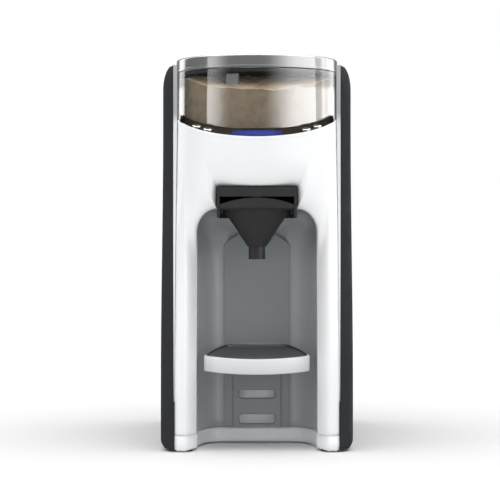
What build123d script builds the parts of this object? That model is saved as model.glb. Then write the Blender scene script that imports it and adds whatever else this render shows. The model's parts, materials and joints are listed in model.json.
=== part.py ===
from build123d import *
import math
import os

# Baby formula maker, built in millimetres. +Z is up, the front faces -Y and +X is to the right.
# The origin is the bottom centre of the whole machine's bounding box, on the surface it stands on.

# Overall size
width = 180.0
depth = 325.0
height = 370.0
front_y = -depth / 2
back_y = depth / 2

# Base
foot_height = 2.5
foot_radius = 8.0
foot_plug = 5.0
foot_x = (67.5, 60.0)
foot_y = 138.0
pan_half = 78.8
pan_inner = 75.5
pan_floor_top = 5.5
boss_radius = 4.5
boss_top_z = 12.0
seam_z = 16.7
seam_gap = 0.4

# Front shell
shell_wall = 2.8
shell_back_y = -66.0
shell_bottom_z = seam_z + seam_gap
rim_z = 291.6
panel_tilt = 18.6
rim_centre_y = -82.0
rim_radius = 80.0
rim_wall = 1.2
strip_top_z = 361.5
strip_wide = 3.3
strip_foot_z = 45.0
bend_low_z = 60.0
bend_high_z = 300.0
corner_low_y = -150.5
corner_high_y = -107.0

# Side panels
panel_inner_x = 79.6
edge_draw = 2.4
lip_deep = 7.0
panel_wall = 2.5
panel_top_z = 363.5
panel_top_half = 89.8
panel_round = 36.0
panel_drum_wall = 2.0
panel_split_z = 293.0

# Bay
bay_half = 56.2
bay_back_y = -67.5
bay_flat_half = 34.2
bay_sweep = 50.5
shoulder_z = 203.0
crown_z = 225.5
crown_half = 37.5
liner_wall = 2.0
track_half = 31.6
track_top_z = 205.0
track_rise = 14.0
track_thick = 1.5
rail_half = 22.9
rail_proud = 0.8
rail_top_z = 95.0
tongue_half = 20.0
tongue_top_z = 80.0
groove_z = (19.0, 92.0)
groove_x = 24.2
groove_half = 0.6
slot_half = 17.5
slot_pitch = 24.0
slot_heights = (8.9, 7.6, 7.6)
slot_round = 2.5
slot_base_z = 23.3

# Powder drum
drum_y = -57.5
drum_radius = 78.3
drum_wall = 2.3
drum_bottom_z = 300.6
drum_top_z = 357.3
dock_gap = 0.9

# Funnel housing
housing_half = 37.0
housing_top_z = 245.7
housing_low_z = 217.0
housing_front_y = -152.0
housing_back_y = -70.0
housing_wall = 2.5
housing_mouth_z = 236.5
nozzle_radius = 4.0
nozzle_low_z = 236.0

# Control panel
panel_edge = 0.5
panel_step = 3.0
window_wide = 46.0
window_tall = 15.0
window_up = 14.0
button_circle = 72.4
button_angles = (39.1, 50.9)
button_radius = 4.2
button_play = 0.2
button_stand = 1.0
button_stem_end = 6.0
switch_top = 7.1
board_top = 8.0

# Powder drive
gear_y = drum_y
gear_module = 1.0
gear_teeth = 52
pinion_teeth = 13
pinion_y = gear_y + gear_module * (gear_teeth + pinion_teeth) / 2
gear_low_z = 281.0
gear_high_z = 289.0
shaft_radius = 4.0
bush_play = 0.05
bush_radius = 6.0
motor_radius = 13.5
motor_low_z = 214.0
motor_top_z = 250.0
motor_shaft = 2.5
case_radius = 28.2
case_wall = 2.2
case_low_z = 274.0
case_top_z = 294.4
dock_low_z = 297.0
dock_top_z = 300.3
coupling_flats = 12.0
dog_low_z = 301.0
dog_height = 10.0
duct_half = (7.0, 9.5)
outlet_y = -112.0
shelf_low_z = 271.0
frame_y = -46.0
frame_thick = 2.5

# Inside the drum
floor_top_z = 303.9
wheel_low_z = 304.2
wheel_top_z = 312.0
wheel_radius = 73.5
wheel_hub = 12.0
wheel_hub_z = 316.0
pocket_count = 8
paddle_circle = 63.0
paddle_angle = -19.8
paddle_top_z = 352.0
paddle_size = (11.0, 3.2)
powder_wall_z = 337.0
powder_peak_z = 347.0
heap_low_z = 320.0
lid_low_z = 357.5
lid_plug_z = 353.4
lid_plug_radius = 74.6
lid_crown = 0.8
lid_wall = 2.4
lid_round = 3.0

# Funnel
funnel_y = -115.0
flange_low_z = 224.3
flange_top_z = 226.8
flange_half = 34.2
cone_top_radius = 33.0
neck_z = 190.0
neck_radius = 8.8
spout_radius = 7.8
spout_low_z = 178.0
funnel_wall = 1.8
lip_half = 34.2

# Tray
tray_half = 48.4
tray_nose_y = -150.0
tray_side_y = -131.0
tray_back_y = -73.5
tray_low_z = 72.0
tray_top_z = 87.2
tray_low_lift = 2.7
tray_top_lift = 3.2
tray_flat_half = 28.5
tray_bend_y = -117.0
tray_climb = 0.07
tray_wall = 3.0
tray_floor = 7.2
insert_thick = 4.6
insert_middle_y = -107.2
groove_rows = 9
groove_pitch = 6.0
bracket_back_y = -71.4

# Water tank
tank_half = 77.6
tank_front_y = 61.0
tank_rear_y = 158.0
tank_low_z = 61.4
tank_floor_z = 66.0
tank_top_z = 350.0
tank_wall = 2.4
valve_y = 90.0
valve_travel = 2.5
valve_radius = 8.8
stem_radius = 2.5
seat_radius = 10.8
sump_radius = 10.5
hinge_y = 160.2
hinge_z = 349.0
ear_x = (40.0, 52.0)
ear_thick = 4.0
knuckle = 2.1
pin_radius = 1.1
tank_lid_thick = 3.0
dock_shelf_z = 58.0
sump_low_z = dock_shelf_z - 4.0
deck_top_z = 352.0
bulkhead_y = 56.0

# Rear
rear_y = 159.0
switch_x = -45.0
rear_mid_z = 37.0
gland_x = 45.0
gland_bore = 3.5
gland_neck = 5.95
switch_half = (10.1, 7.2)
pivot_depth = 3.6
pivot_radius = 1.4
vent_count = 6
vent_pitch = 6.0

# Frame and electrics
frame_half = 73.0
frame_foot_z = 5.6
frame_window = 8.0
board_y = -39.0
board_thick = 1.6
board_x = (-62.0, 32.0)
board_z = (132.0, 202.0)
board_margin = 5.0
part_face_y = board_y + board_thick - 0.1
fin_count = 5
fin_pitch = 4.0

# Water works
hose_radius = 3.5
hose_bore = 1.9
pump_x = -40.0
pump_z = 28.0
pump_radius = 14.0
pump_half = 14.0
pump_front_y = -12.0
pump_back_y = 18.0
pump_head_z = 44.0
pump_outlet_y = 6.0
heater_x = 36.0
heater_y = 8.0
heater_radius = 20.0
heater_low_z = 14.0
heater_high_z = 116.0
heater_cap = 4.0
heater_inlet_z = 30.0
thermostat_z = 92.0
barb_radius = 3.4
strap_z = (60.0, 72.0)
spout_z = 256.0
riser_x = 44.0
cable_x = -42.0
cable_wide = 12.0


def block(x0, x1, y0, y1, z0, z1):
    """Box between two opposite corners."""
    middle = Pos((x0 + x1) / 2, (y0 + y1) / 2, (z0 + z1) / 2)
    return middle * Box(abs(x1 - x0), abs(y1 - y0), abs(z1 - z0))


def disc(x, y, z0, z1, radius):
    """Upright cylinder between two heights."""
    return Pos(x, y, (z0 + z1) / 2) * Cylinder(radius, abs(z1 - z0))


def ring(x, y, z0, z1, outer, inner):
    """Upright tube between two heights."""
    return disc(x, y, z0, z1, outer) - disc(x, y, z0 - 1, z1 + 1, inner)


def rod(start, end, radius):
    """Round bar from one point to another."""
    run = Vector(*end) - Vector(*start)
    return extrude(Plane(Vector(*start), z_dir=run.normalized()) * Circle(radius), run.length)


def mirrored(solid):
    """The same solid on the other side of the machine's middle plane."""
    return mirror(solid, about=Plane.YZ)


def ease(low, high, value):
    """Smooth step from 0 at low to 1 at high."""
    t = min(1.0, max(0.0, (value - low) / (high - low)))
    return t * t * (3 - 2 * t)


def corner_y(z):
    """How far forward the front corners stand: upright below, swept back towards the drum."""
    return corner_low_y + (corner_high_y - corner_low_y) * ease(bend_low_z, bend_high_z, z)


def edge_x(z):
    """Front edge of the side panel, which draws in a little towards the foot."""
    return panel_inner_x - 0.4 - edge_draw * (1 - ease(30, 290, z))


def strip_inner_x(z):
    """Inner edge of the trim strip, which narrows to nothing at its foot."""
    share = min(1.0, max(0.0, (z - strip_foot_z) / (bend_high_z - strip_foot_z)))
    return edge_x(z) - 0.3 - strip_wide * share


def panel_half(z):
    """Half width over the side panels, which lean in a little towards the top."""
    return width / 2 - (width / 2 - panel_top_half) * ease(bend_low_z, panel_top_z, z)


def tilted_plane(sink=0.0):
    """Plane of the control panel, which rises from the front rim towards the drum."""
    lean = math.radians(panel_tilt)
    normal = Vector(0, -math.sin(lean), math.cos(lean))
    return Plane(Vector(0, front_y, rim_z) - normal * sink, x_dir=(1, 0, 0), z_dir=normal)


def above_panel(sink=0.0):
    """Everything above the control panel's plane."""
    return tilted_plane(sink) * Pos(0, 100, 100) * Box(260, 320, 200)


def front_section(z, inset):
    """Plan of the front at one height: a bowed front between straight sides."""
    half = strip_inner_x(z) - 0.1 - inset
    side = corner_y(z) + inset
    bow = ThreePointArc((-half, side), (0, front_y + inset), (half, side))
    sides = Polyline((half, side), (half, shell_back_y), (-half, shell_back_y), (-half, side))
    return Plane.XY.offset(z) * make_face(Curve() + [bow, sides])


def front_body(inset, low, high):
    """Loft of the front through its plans."""
    levels = [low, 60, 110, 160, 210, 255, 290, high]
    return loft([front_section(z, inset) for z in levels])


def arch_face(grow):
    """Front view of the bay: straight sides, elliptical shoulders and a flat crown."""
    side = bay_half + grow
    top = crown_z + grow
    rise = (side - crown_half) * math.cos(math.radians(45)), (top - shoulder_z) * math.sin(math.radians(45))
    middle = crown_half + rise[0], shoulder_z + rise[1]
    right = ThreePointArc((side, shoulder_z), middle, (crown_half, top))
    left = ThreePointArc((-crown_half, top), (-middle[0], middle[1]), (-side, shoulder_z))
    crown = Line((crown_half, top), (-crown_half, top))
    legs = Polyline((-side, shoulder_z), (-side, -5), (side, -5), (side, shoulder_z))
    return make_face(Curve() + [right, crown, left, legs])


def swept_plan(half, flat, bend_y, far, near_line):
    """Plan with straight sides that sweep round as half ellipses into a flat back."""
    across, deep = half - flat, far - bend_y
    right = EllipticalCenterArc((flat, bend_y), across, deep, arc_size=90)
    back = Line((flat, far), (-flat, far))
    left = EllipticalCenterArc((-flat, bend_y), across, deep, 90, arc_size=90)
    return make_face(Curve() + [right, back, left, near_line])


def bay_void(grow, near_y):
    """Room of the bay: its arch carried back to a wall with large swept corners."""
    upright = extrude(Plane.XZ * arch_face(grow), 200, both=True)
    half = bay_half + grow
    bend_y = bay_back_y - bay_sweep
    near = Polyline((-half, bend_y), (-half, near_y), (half, near_y), (half, bend_y))
    plan = swept_plan(half, bay_flat_half, bend_y, bay_back_y + grow, near)
    return upright & (Pos(0, 0, -10) * extrude(plan, 400))


def base_pan():
    """White floor pan with the columns' feet, open at the bay and under the machine's middle."""
    outline = extrude(front_section(foot_height, 0), seam_z - foot_height)
    rear = block(-pan_half, pan_half, shell_back_y - 0.01, back_y - 4, foot_height, seam_z)
    pan = outline + rear
    for side in (-1, 1):
        inner, outer = side * (bay_half + 3.8), side * (pan_inner - 2.5)
        pan -= block(inner, outer, -141, shell_back_y - 1, pan_floor_top, seam_z + 1)
    pan -= block(-pan_inner, pan_inner, shell_back_y + 6, back_y - 7, pan_floor_top, seam_z + 1)
    pan -= bay_void(liner_wall + 0.2, -200)
    pan -= block(-bay_half - 2.2, bay_half + 2.2, -200, bay_back_y - bay_sweep, 0, seam_z + 1)
    for x, y in screw_places():
        pan += disc(x, y, foot_height, boss_top_z, boss_radius)
        pan -= disc(x, y, 0, boss_top_z + 1, 1.4)
        pan -= disc(x, y, 0, foot_height * 2, 3.6)
    for x, y in foot_places():
        pan -= disc(x, y, 0, foot_height + 1, foot_plug + 0.05)
    return pan


def foot_places():
    """Centres of the four feet."""
    front, rear = foot_x
    return [(-front, -foot_y), (front, -foot_y), (-rear, foot_y), (rear, foot_y)]


def screw_places():
    """Centres of the screws that hold the pan to the machine."""
    return [(-67.5, -112), (67.5, -112), (-67, 20), (67, 20), (-67, 110), (67, 110)]


def rubber_feet():
    """Four round feet, each plugged into a hole in the pan."""
    feet = []
    for x, y in foot_places():
        foot = disc(x, y, 0, foot_height, foot_radius) + disc(x, y, 0, foot_height + 0.8, foot_plug)
        feet.append(chamfer(foot.edges().group_by(Axis.Z)[0], 0.8))
    return Compound(children=feet)


def pan_screws():
    """Self-tapping screws driven up through the pan's bosses."""
    return [disc(x, y, 3.0, 5.0, 3.2) + disc(x, y, 5.0, 17.5, 1.35) for x, y in screw_places()]


def front_shell():
    """White shell: two columns, the arch over the bay and the rim round the drum."""
    shell = front_body(0, shell_bottom_z, 330) - front_body(shell_wall, shell_bottom_z, 330)
    shell -= block(-90, 90, shell_back_y - 0.5, shell_back_y + 5, 0, 400)
    shell -= extrude(Plane.XZ * arch_face(0.3), 200, both=True)
    shell -= block(-housing_half - 0.4, housing_half + 0.4, -200, 0, 200, housing_top_z + 0.5)
    shell -= above_panel()
    shell -= disc(0, drum_y, 296, 400, drum_radius + dock_gap)
    return shell - rim_rebate()


def rim_rebate():
    """Step inside the rim that the control panel drops into."""
    bowl = disc(0, rim_centre_y, 250, 400, rim_radius - rim_wall)
    return bowl & above_panel(3.0)


def panel_section(z, inset):
    """Plan of the right side panel: a long soft front corner and a tighter rear one."""
    outer = panel_half(z) - inset
    near = corner_y(z) - 0.6 + inset
    far = back_y - inset
    inner = panel_inner_x if inset == 0 else panel_inner_x + panel_drum_wall
    lip = edge_x(z) if inset == 0 else inner - 0.3
    front = TangentArc((outer, near + panel_round), (lip, near), tangent=(0, -1))
    side = Line((outer, near + panel_round), (outer, far - 10))
    rear = TangentArc((outer, far - 10), (inner, far), tangent=(0, 1))
    close = Polyline((inner, far), (inner, near + lip_deep), (lip, near + lip_deep), (lip, near))
    return Plane.XY.offset(z) * make_face(Curve() + [front, side, rear, close])


def panel_body(inset):
    """Loft of the side panel through its plans."""
    levels = [foot_height, 60, 110, 160, 210, 255, 290, 325, panel_top_z]
    return loft([panel_section(z, inset) for z in levels])


def side_view_trim():
    """Side view of the panel, with its rounded top corners."""
    outline = Polyline((-170, 0), (-170, 320), (-98, panel_top_z - 7), (-84, panel_top_z), (148, panel_top_z),
                       (back_y, panel_top_z - 16), (back_y, 0), (-170, 0))
    return extrude(Plane.YZ * make_face(outline), 120)


def front_view_trim(inset):
    """Front view of the panel, with its rounded top and foot."""
    top = panel_top_z - inset
    half = width / 2 - inset
    head = ThreePointArc((77, top), (86.6 - inset, top - 6.8), (90.2 - inset, top - 24))
    foot = foot_height + inset * 0.8
    edge = half + 0.4
    side = Polyline((90.2 - inset, top - 24), (edge, 200), (edge, 7), (86, foot))
    near = Polyline((86, foot), (75, foot), (75, top), (77, top))
    return extrude(Plane.XZ * make_face(Curve() + [head, side, near]), 200, both=True)


def side_panel():
    """Charcoal side panel: a shell, open towards the machine below the drum."""
    outside = panel_body(0) & side_view_trim() & front_view_trim(0)
    hollow = panel_body(panel_wall) & front_view_trim(panel_wall)
    hollow &= block(70, 91, -160, back_y - panel_wall, 0, panel_top_z - 14)
    mouth = block(70, panel_inner_x + panel_drum_wall + 0.1, -100, back_y - 6, foot_height + 2, panel_split_z)
    return outside - hollow - mouth


def trim_section(z):
    """Plan of the trim strip at one height."""
    near = corner_y(z) - 0.3
    inner = strip_inner_x(z)
    outer = edge_x(z) - 0.1
    outline = Polyline((inner, near), (outer, near), (outer, near + 6), (inner, near + 6), (inner, near))
    return Plane.XY.offset(z) * make_face(outline)


def trim_strip():
    """Light strip between the shell and the side panel, up past the rim to the top."""
    return loft([trim_section(z) for z in (strip_foot_z + 2, 100, 160, 210, 255, 300, strip_top_z)])


def trim_strips():
    """Both trim strips."""
    return Compound(children=[trim_strip(), mirrored(trim_strip())])


def bay_liner():
    """Grey lining of the bay: side walls, shoulders and back wall in one moulding."""
    liner = bay_void(liner_wall, -170) - bay_void(0, -200)
    liner &= front_body(shell_wall + 0.3, shell_bottom_z, 330)
    liner -= block(-crown_half, crown_half, -200, bay_back_y - 1, crown_z - 1, 300)
    tongue = block(-tongue_half - 0.2, tongue_half + 0.2, -75, -60, 0, tongue_top_z + 0.2)
    return liner - tongue - groove_cuts()


def groove_cuts():
    """Upright guide grooves that the tray's lugs pass through."""
    cuts = Part()
    for side in (-1, 1):
        low, high = groove_z
        cuts += block(side * groove_x - groove_half, side * groove_x + groove_half, -75, -60, low, high)
    return cuts


def slot_cuts():
    """Three level slots in the track, one above the other."""
    cuts = Part()
    for level, tall in enumerate(slot_heights):
        middle = slot_base_z + level * slot_pitch
        slot = Plane.XZ.offset(60) * Pos(0, middle) * RectangleRounded(2 * slot_half, tall, slot_round)
        cuts += extrude(slot, 15)
    return cuts


def track_plate():
    """Plate with an arched top on the back wall of the bay, with the raised track of the tray."""
    bend_z = track_top_z - track_rise
    arch = ThreePointArc((track_half, bend_z), (0, track_top_z), (-track_half, bend_z))
    legs = Polyline((-track_half, bend_z), (-track_half, shell_bottom_z), (track_half, shell_bottom_z),
                    (track_half, bend_z))
    face = Plane.XZ.offset(-bay_back_y) * make_face(Curve() + [arch, legs])
    front = bay_back_y - track_thick
    plate = extrude(face, track_thick)
    plate += block(-rail_half, rail_half, front - rail_proud, front + 1, shell_bottom_z, rail_top_z)
    return plate - groove_cuts() - slot_cuts()


def kick_panel():
    """Pale foot of the bay below the seam, with a tongue that shows through the track's slots."""
    panel = bay_void(liner_wall, -170) - bay_void(0, -200)
    panel &= block(-90, 90, -147, 0, foot_height + 0.5, seam_z)
    near = bay_back_y + 0.1
    return panel + block(-tongue_half, tongue_half, near, near + liner_wall - 0.3, seam_z - 6, tongue_top_z)


def panel_point(angle):
    """Place on the control panel's plane at an angle round the rim's circle, from straight ahead."""
    turn = math.radians(angle)
    x = button_circle * math.sin(turn)
    y = rim_centre_y - button_circle * math.cos(turn)
    return x, (y - front_y) / math.cos(math.radians(panel_tilt))


def on_panel(x, up, top, bottom, radius):
    """Round peg square to the panel, between two depths under its plane."""
    return tilted_plane(bottom) * Pos(x, up, (bottom - top) / 2) * Cylinder(radius, bottom - top)


def panel_plate(x, up, top, bottom, wide, tall):
    """Flat plate square to the panel, between two depths under its plane."""
    return tilted_plane(bottom) * Pos(x, up, (bottom - top) / 2) * Box(wide, tall, bottom - top)


def crescent(outer, top, bottom, clear):
    """Sickle between the front rim and the drum, between two depths under the panel's plane."""
    body = disc(0, rim_centre_y, 240, 400, outer) & block(-72.8, 72.8, -170, -66, 200, 400)
    body &= above_panel(bottom)
    body -= above_panel(top)
    return body - disc(0, drum_y, 200, 420, drum_radius + clear)


def all_button_angles():
    """Angles of the four buttons, left to right."""
    far, near = button_angles[1], button_angles[0]
    return [-far, -near, near, far]


def control_panel():
    """Glossy black sickle with holes for the buttons and a window for the display."""
    panel = crescent(rim_radius - rim_wall - 0.1, panel_edge, panel_step, dock_gap + 0.2)
    panel -= panel_plate(0, window_up, panel_edge - 1, 1.6, window_wide + 0.2, window_tall + 0.2)
    panel -= panel_plate(0, window_up, 0, 6, window_wide - 3.6, window_tall - 2.6)
    for angle in all_button_angles():
        x, up = panel_point(angle)
        panel -= on_panel(x, up, -2, 8, button_radius + button_play)
    return panel


def display():
    """Display with its clear front, flush in the panel's window."""
    front = panel_plate(0, window_up, panel_edge, 1.6, window_wide, window_tall)
    return front + panel_plate(0, window_up, 1.6, 5.4, window_wide - 4, window_tall - 3)


def button(angle):
    """Round push button with a domed cap and a stem that meets its switch."""
    x, up = panel_point(angle)
    cap_bottom = panel_step - 0.1
    cap = disc(0, 0, 0, cap_bottom - panel_edge + button_stand, button_radius)
    cap = fillet(cap.edges().group_by(Axis.Z)[-1], 0.8)
    cap = tilted_plane(cap_bottom) * Pos(x, up, 0) * cap
    return cap + on_panel(x, up, cap_bottom, button_stem_end, 1.8)


def control_board():
    """Sickle-shaped circuit board with a switch under every button."""
    board = crescent(74.0, board_top, board_top + 1.6, 3.2) & block(-66, 66, -170, -66, 200, 400)
    for angle in all_button_angles():
        x, up = panel_point(angle)
        board += panel_plate(x, up, switch_top, board_top + 0.4, 5.0, 5.0)
    return board


def gear_face(teeth, turn):
    """Involute spur gear outline of 20 degree pressure angle, thinned a little for backlash."""
    pitch = gear_module * teeth / 2
    base = pitch * math.cos(math.radians(20))
    tip = pitch + gear_module
    root = pitch - 1.25 * gear_module
    spread = math.tan(math.radians(20)) - math.radians(20)
    half = math.pi / (2 * teeth) - 0.09 / pitch

    def flank(radius):
        """Angle from the tooth's middle line to its flank at a radius."""
        slope = math.acos(min(1.0, base / max(radius, base)))
        return half + spread - (math.tan(slope) - slope)

    start = max(root, base)
    radii = [start + (tip - start) * step / 4 for step in range(5)]
    if base > root + 0.05:
        radii.insert(0, root)
    points = []
    for tooth in range(teeth):
        middle = 2 * math.pi * (tooth + turn) / teeth
        for radius in radii:
            turned = middle - flank(radius)
            points.append((radius * math.cos(turned), radius * math.sin(turned)))
        for radius in reversed(radii):
            turned = middle + flank(radius)
            points.append((radius * math.cos(turned), radius * math.sin(turned)))
    return make_face(Polyline(points + [points[0]]))


def drive_gear():
    """Gear that turns the powder wheel, on its shaft."""
    gear = extrude(gear_face(gear_teeth, 0), gear_high_z - gear_low_z)
    gear = Pos(0, gear_y, gear_low_z) * Rot(0, 0, 90) * gear
    for hole in range(6):
        turn = math.radians(60 * hole)
        gear -= disc(16 * math.cos(turn), gear_y + 16 * math.sin(turn), gear_low_z - 1, gear_high_z + 1, 4.6)
    gear += disc(0, gear_y, gear_low_z - 1.5, gear_high_z + 1.5, shaft_radius * 2)
    return gear - disc(0, gear_y, gear_low_z - 2, gear_high_z + 2, shaft_radius + 0.02)


def motor_pinion():
    """Motor shaft with its small gear, a tooth gap facing the big gear's tooth."""
    pinion = extrude(gear_face(pinion_teeth, 0.5), gear_high_z - gear_low_z - 1)
    pinion = Pos(0, pinion_y, gear_low_z + 0.5) * Rot(0, 0, -90) * pinion
    return pinion + disc(0, pinion_y, motor_top_z + 2, gear_high_z + 1.5, motor_shaft)


def gear_motor():
    """Motor can with its reduction stage, hung under the frame's shelf."""
    motor = disc(0, pinion_y, motor_low_z, motor_top_z, motor_radius)
    motor += disc(0, pinion_y, motor_top_z, shelf_low_z - 0.1, motor_radius + 1)
    motor += disc(0, pinion_y, motor_low_z - 5, motor_low_z, 5)
    for side in (-1, 1):
        motor += block(side * 8, side * 9, pinion_y - 2, pinion_y + 2, motor_low_z - 7, motor_low_z)
    return motor - disc(0, pinion_y, motor_top_z, shelf_low_z + 1, motor_shaft + 0.05)


def drive_shaft():
    """Shaft from the lower bush up to a six-sided dog that drives the drum's measuring wheel."""
    dog = extrude(RegularPolygon(coupling_flats / 2, 6, major_radius=False), dog_height)
    dog = Pos(0, gear_y, dog_low_z) * dog + disc(0, gear_y, dog_low_z - 2.4, dog_low_z, coupling_flats / 2)
    return dog + disc(0, gear_y, case_low_z + 0.5, dog_low_z + 1, shaft_radius)


def bush(z0, z1):
    """Bronze bush with a flange at its lower end."""
    body = disc(0, gear_y, z0, z1, bush_radius) + disc(0, gear_y, z0, z0 + 1.0, bush_radius + 1.5)
    return body - disc(0, gear_y, z0 - 1, z1 + 1, shaft_radius + bush_play)


def drive_bushes():
    """The two bushes of the drive shaft."""
    lower = bush(case_low_z, case_low_z + 4.0)
    upper = bush(case_top_z - 2.0, case_top_z + case_wall)
    return Compound(children=[lower, upper])


def case_outline(grow, low, high):
    """Keyhole shape round both gears."""
    wide = disc(0, gear_y, low, high, case_radius + grow)
    return wide + block(-9.5 - grow, 9.5 + grow, gear_y, pinion_y + 9.0 + grow, low, high)


def gearbox_case():
    """Cup that holds both gears, open at the top."""
    case = case_outline(case_wall, case_low_z, case_top_z)
    case -= case_outline(0, case_low_z + 3, case_top_z + 1)
    case -= disc(0, gear_y, case_low_z - 1, case_low_z + 4, bush_radius)
    case -= disc(0, gear_y, case_low_z - 1, case_low_z + 1.0, bush_radius + 1.5)
    for x, y in cover_screw_places():
        case -= disc(x, y, case_top_z - 8, case_top_z + 1, 1.0)
    return case - disc(0, pinion_y, case_low_z - 1, case_low_z + 4, motor_shaft + 0.7)


def gearbox_cover():
    """Lid of the gear case, with the upper bush in it."""
    cover = case_outline(case_wall, case_top_z, case_top_z + case_wall)
    cover -= disc(0, gear_y, case_top_z - 1, case_top_z + 4, bush_radius)
    for x, y in cover_screw_places():
        cover -= disc(x, y, case_top_z - 1, case_top_z + 4, 1.0)
    return cover


def cover_screw_places():
    """Centres of the gearbox screws, in the case's wall."""
    reach = case_radius + case_wall / 2
    places = [(0, gear_y - reach)]
    for side in (-1, 1):
        places.append((side * reach, gear_y))
    return places


def powder_dock():
    """Plate that the drum stands on, with the drive's bore and a square duct down to the funnel."""
    dock = disc(0, drum_y, dock_low_z, dock_top_z, drum_radius - 0.2)
    rib = ring(0, drum_y, dock_low_z - 6, dock_low_z, 70, 67.5)
    dock += rib & block(-70, 70, -62, 20, dock_low_z - 10, dock_low_z)
    dock -= disc(0, gear_y, dock_low_z - 1, dock_top_z + 1, shaft_radius * 2)
    wide, deep = duct_half
    near, far = outlet_y - deep - 2, outlet_y + deep + 2
    dock += block(-wide - 2, wide + 2, near, far, housing_top_z + 0.1, dock_low_z)
    return dock - block(-wide, wide, outlet_y - deep, outlet_y + deep, housing_top_z - 5, dock_top_z + 1)


def powder_container():
    """Clear drum wall, open at both ends."""
    return ring(0, drum_y, drum_bottom_z, drum_top_z, drum_radius, drum_radius - drum_wall)


def container_floor():
    """Dark floor pressed into the drum, with the drive's bore and the powder outlet."""
    plate = disc(0, drum_y, drum_bottom_z + 0.2, floor_top_z, drum_radius - drum_wall)
    plate -= disc(0, drum_y, drum_bottom_z - 1, floor_top_z + 1, shaft_radius * 2 + 0.5)
    wide, deep = duct_half[0] - 0.5, duct_half[1] - 0.5
    return plate - block(-wide, wide, outlet_y - deep, outlet_y + deep, drum_bottom_z - 1, floor_top_z + 1)


def powder_wheel():
    """Measuring wheel with a ring of pockets that carry a dose each to the outlet."""
    wheel = disc(0, drum_y, wheel_low_z, wheel_top_z, wheel_radius)
    wheel += disc(0, drum_y, wheel_low_z, wheel_hub_z, wheel_hub)
    for pocket in range(pocket_count):
        turn = Rot(0, 0, 360 / pocket_count * (pocket + 0.5))
        well = Pos(0, outlet_y - drum_y, wheel_low_z) * Box(13, 18, 30)
        wheel -= Pos(0, drum_y, 0) * turn * fillet(well.edges().filter_by(Axis.Z), 4)
    socket = extrude(RegularPolygon(coupling_flats / 2 + 0.3, 6, major_radius=False), 9)
    return wheel - Pos(0, drum_y, wheel_low_z - 0.1) * socket


def stirrer():
    """Arm over the wheel with a paddle that stands up through the powder near the wall."""
    low = wheel_hub_z - 0.8
    hub = disc(0, drum_y, wheel_hub_z, wheel_hub_z + 6, wheel_hub - 2)
    arm = Pos(0, -paddle_circle / 2, low + 1.8) * Box(9, paddle_circle, 3.6)
    rest = Pos(0, 26, low + 1.8) * Box(9, 52, 3.6)
    wide, thick = paddle_size
    paddle = Pos(0, -paddle_circle, (low + paddle_top_z) / 2) * Box(wide, thick, paddle_top_z - low)
    sweep_arms = Pos(0, drum_y, 0) * Rot(0, 0, paddle_angle) * (arm + rest + paddle)
    return (hub + sweep_arms) - disc(0, drum_y, low - 1, wheel_hub_z, wheel_hub + 0.05)


def formula_powder():
    """Powder in the drum: a ring outside the paddle's path, down past the wheel, and a heap inside it."""
    wall = drum_radius - drum_wall - 0.3
    outer = ring(0, drum_y, wheel_top_z + 0.4, powder_wall_z, wall, 66.0)
    outer += ring(0, drum_y, floor_top_z + 0.2, wheel_top_z + 1, wall, wheel_radius + 0.5)
    upward = (Align.CENTER, Align.CENTER, Align.MIN)
    heap = Pos(0, drum_y, heap_low_z) * Cone(59, 40, powder_peak_z - heap_low_z, align=upward)
    heap -= disc(0, drum_y, heap_low_z - 1, heap_low_z + 10, wheel_hub + 1)
    return Compound(children=[outer, heap])


def container_lid():
    """Lid with a deep rounded band, and a plug that reaches down inside the drum."""
    crown_low, skin = height - lid_crown, lid_wall
    band = disc(0, drum_y, lid_low_z, crown_low, drum_radius)
    band = fillet(band.edges().group_by(Axis.Z)[-1], lid_round)
    band += disc(0, drum_y, crown_low - 1.6, height, drum_radius - 10)
    band -= disc(0, drum_y, lid_low_z - 1, height - skin - 1, drum_radius - skin)
    band += ring(0, drum_y, lid_plug_z, height - skin - 0.2, lid_plug_radius, lid_plug_radius - 2.0)
    return band


def lid_gasket():
    """Soft ring between the lid's plug and the drum's wall."""
    low = lid_plug_z + 0.8
    return ring(0, drum_y, low, low + 2.4, drum_radius - drum_wall - 0.15, lid_plug_radius + 0.06)


def funnel_housing():
    """Dark box over the funnel: roof, side walls with rails, and a front above the funnel's lip."""
    wide, wall = housing_half, housing_wall
    box = block(-wide, wide, housing_front_y, housing_back_y, housing_low_z, housing_top_z)
    near, far = housing_front_y + wall, housing_back_y - wall
    box -= block(-wide + wall, wide - wall, near, far, 200, housing_top_z - wall)
    box -= block(-wide + wall, wide - wall, -200, housing_front_y + 12, 200, housing_mouth_z)
    rail_top = flange_low_z - 0.3
    for side in (-1, 1):
        box += block(side * (wide - wall - 3), side * (wide - 2), -145, far, rail_top - 2.6, rail_top)
    across, deep = duct_half[0] + 0.2, duct_half[1] + 0.2
    box -= block(-across, across, outlet_y - deep, outlet_y + deep, housing_top_z - 5, housing_top_z + 1)
    return box - disc(0, spout_y(), housing_top_z - 5, housing_top_z + 1, nozzle_radius + 0.3)


def spout_y():
    """Where the water spout comes through the housing's roof."""
    return outlet_y - 22.0


def water_spout():
    """Nozzle over the funnel with a side barb for its hose."""
    body = disc(0, spout_y(), nozzle_low_z, spout_z + 6, nozzle_radius)
    body += disc(0, spout_y(), housing_top_z + 0.1, 249, nozzle_radius + 3)
    body += rod((0, spout_y(), spout_z), (14, spout_y(), spout_z), 3.0)
    body -= disc(0, spout_y(), nozzle_low_z - 1, spout_z + 3, 2.0)
    return body - rod((0, spout_y(), spout_z), (16, spout_y(), spout_z), 1.8)


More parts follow.
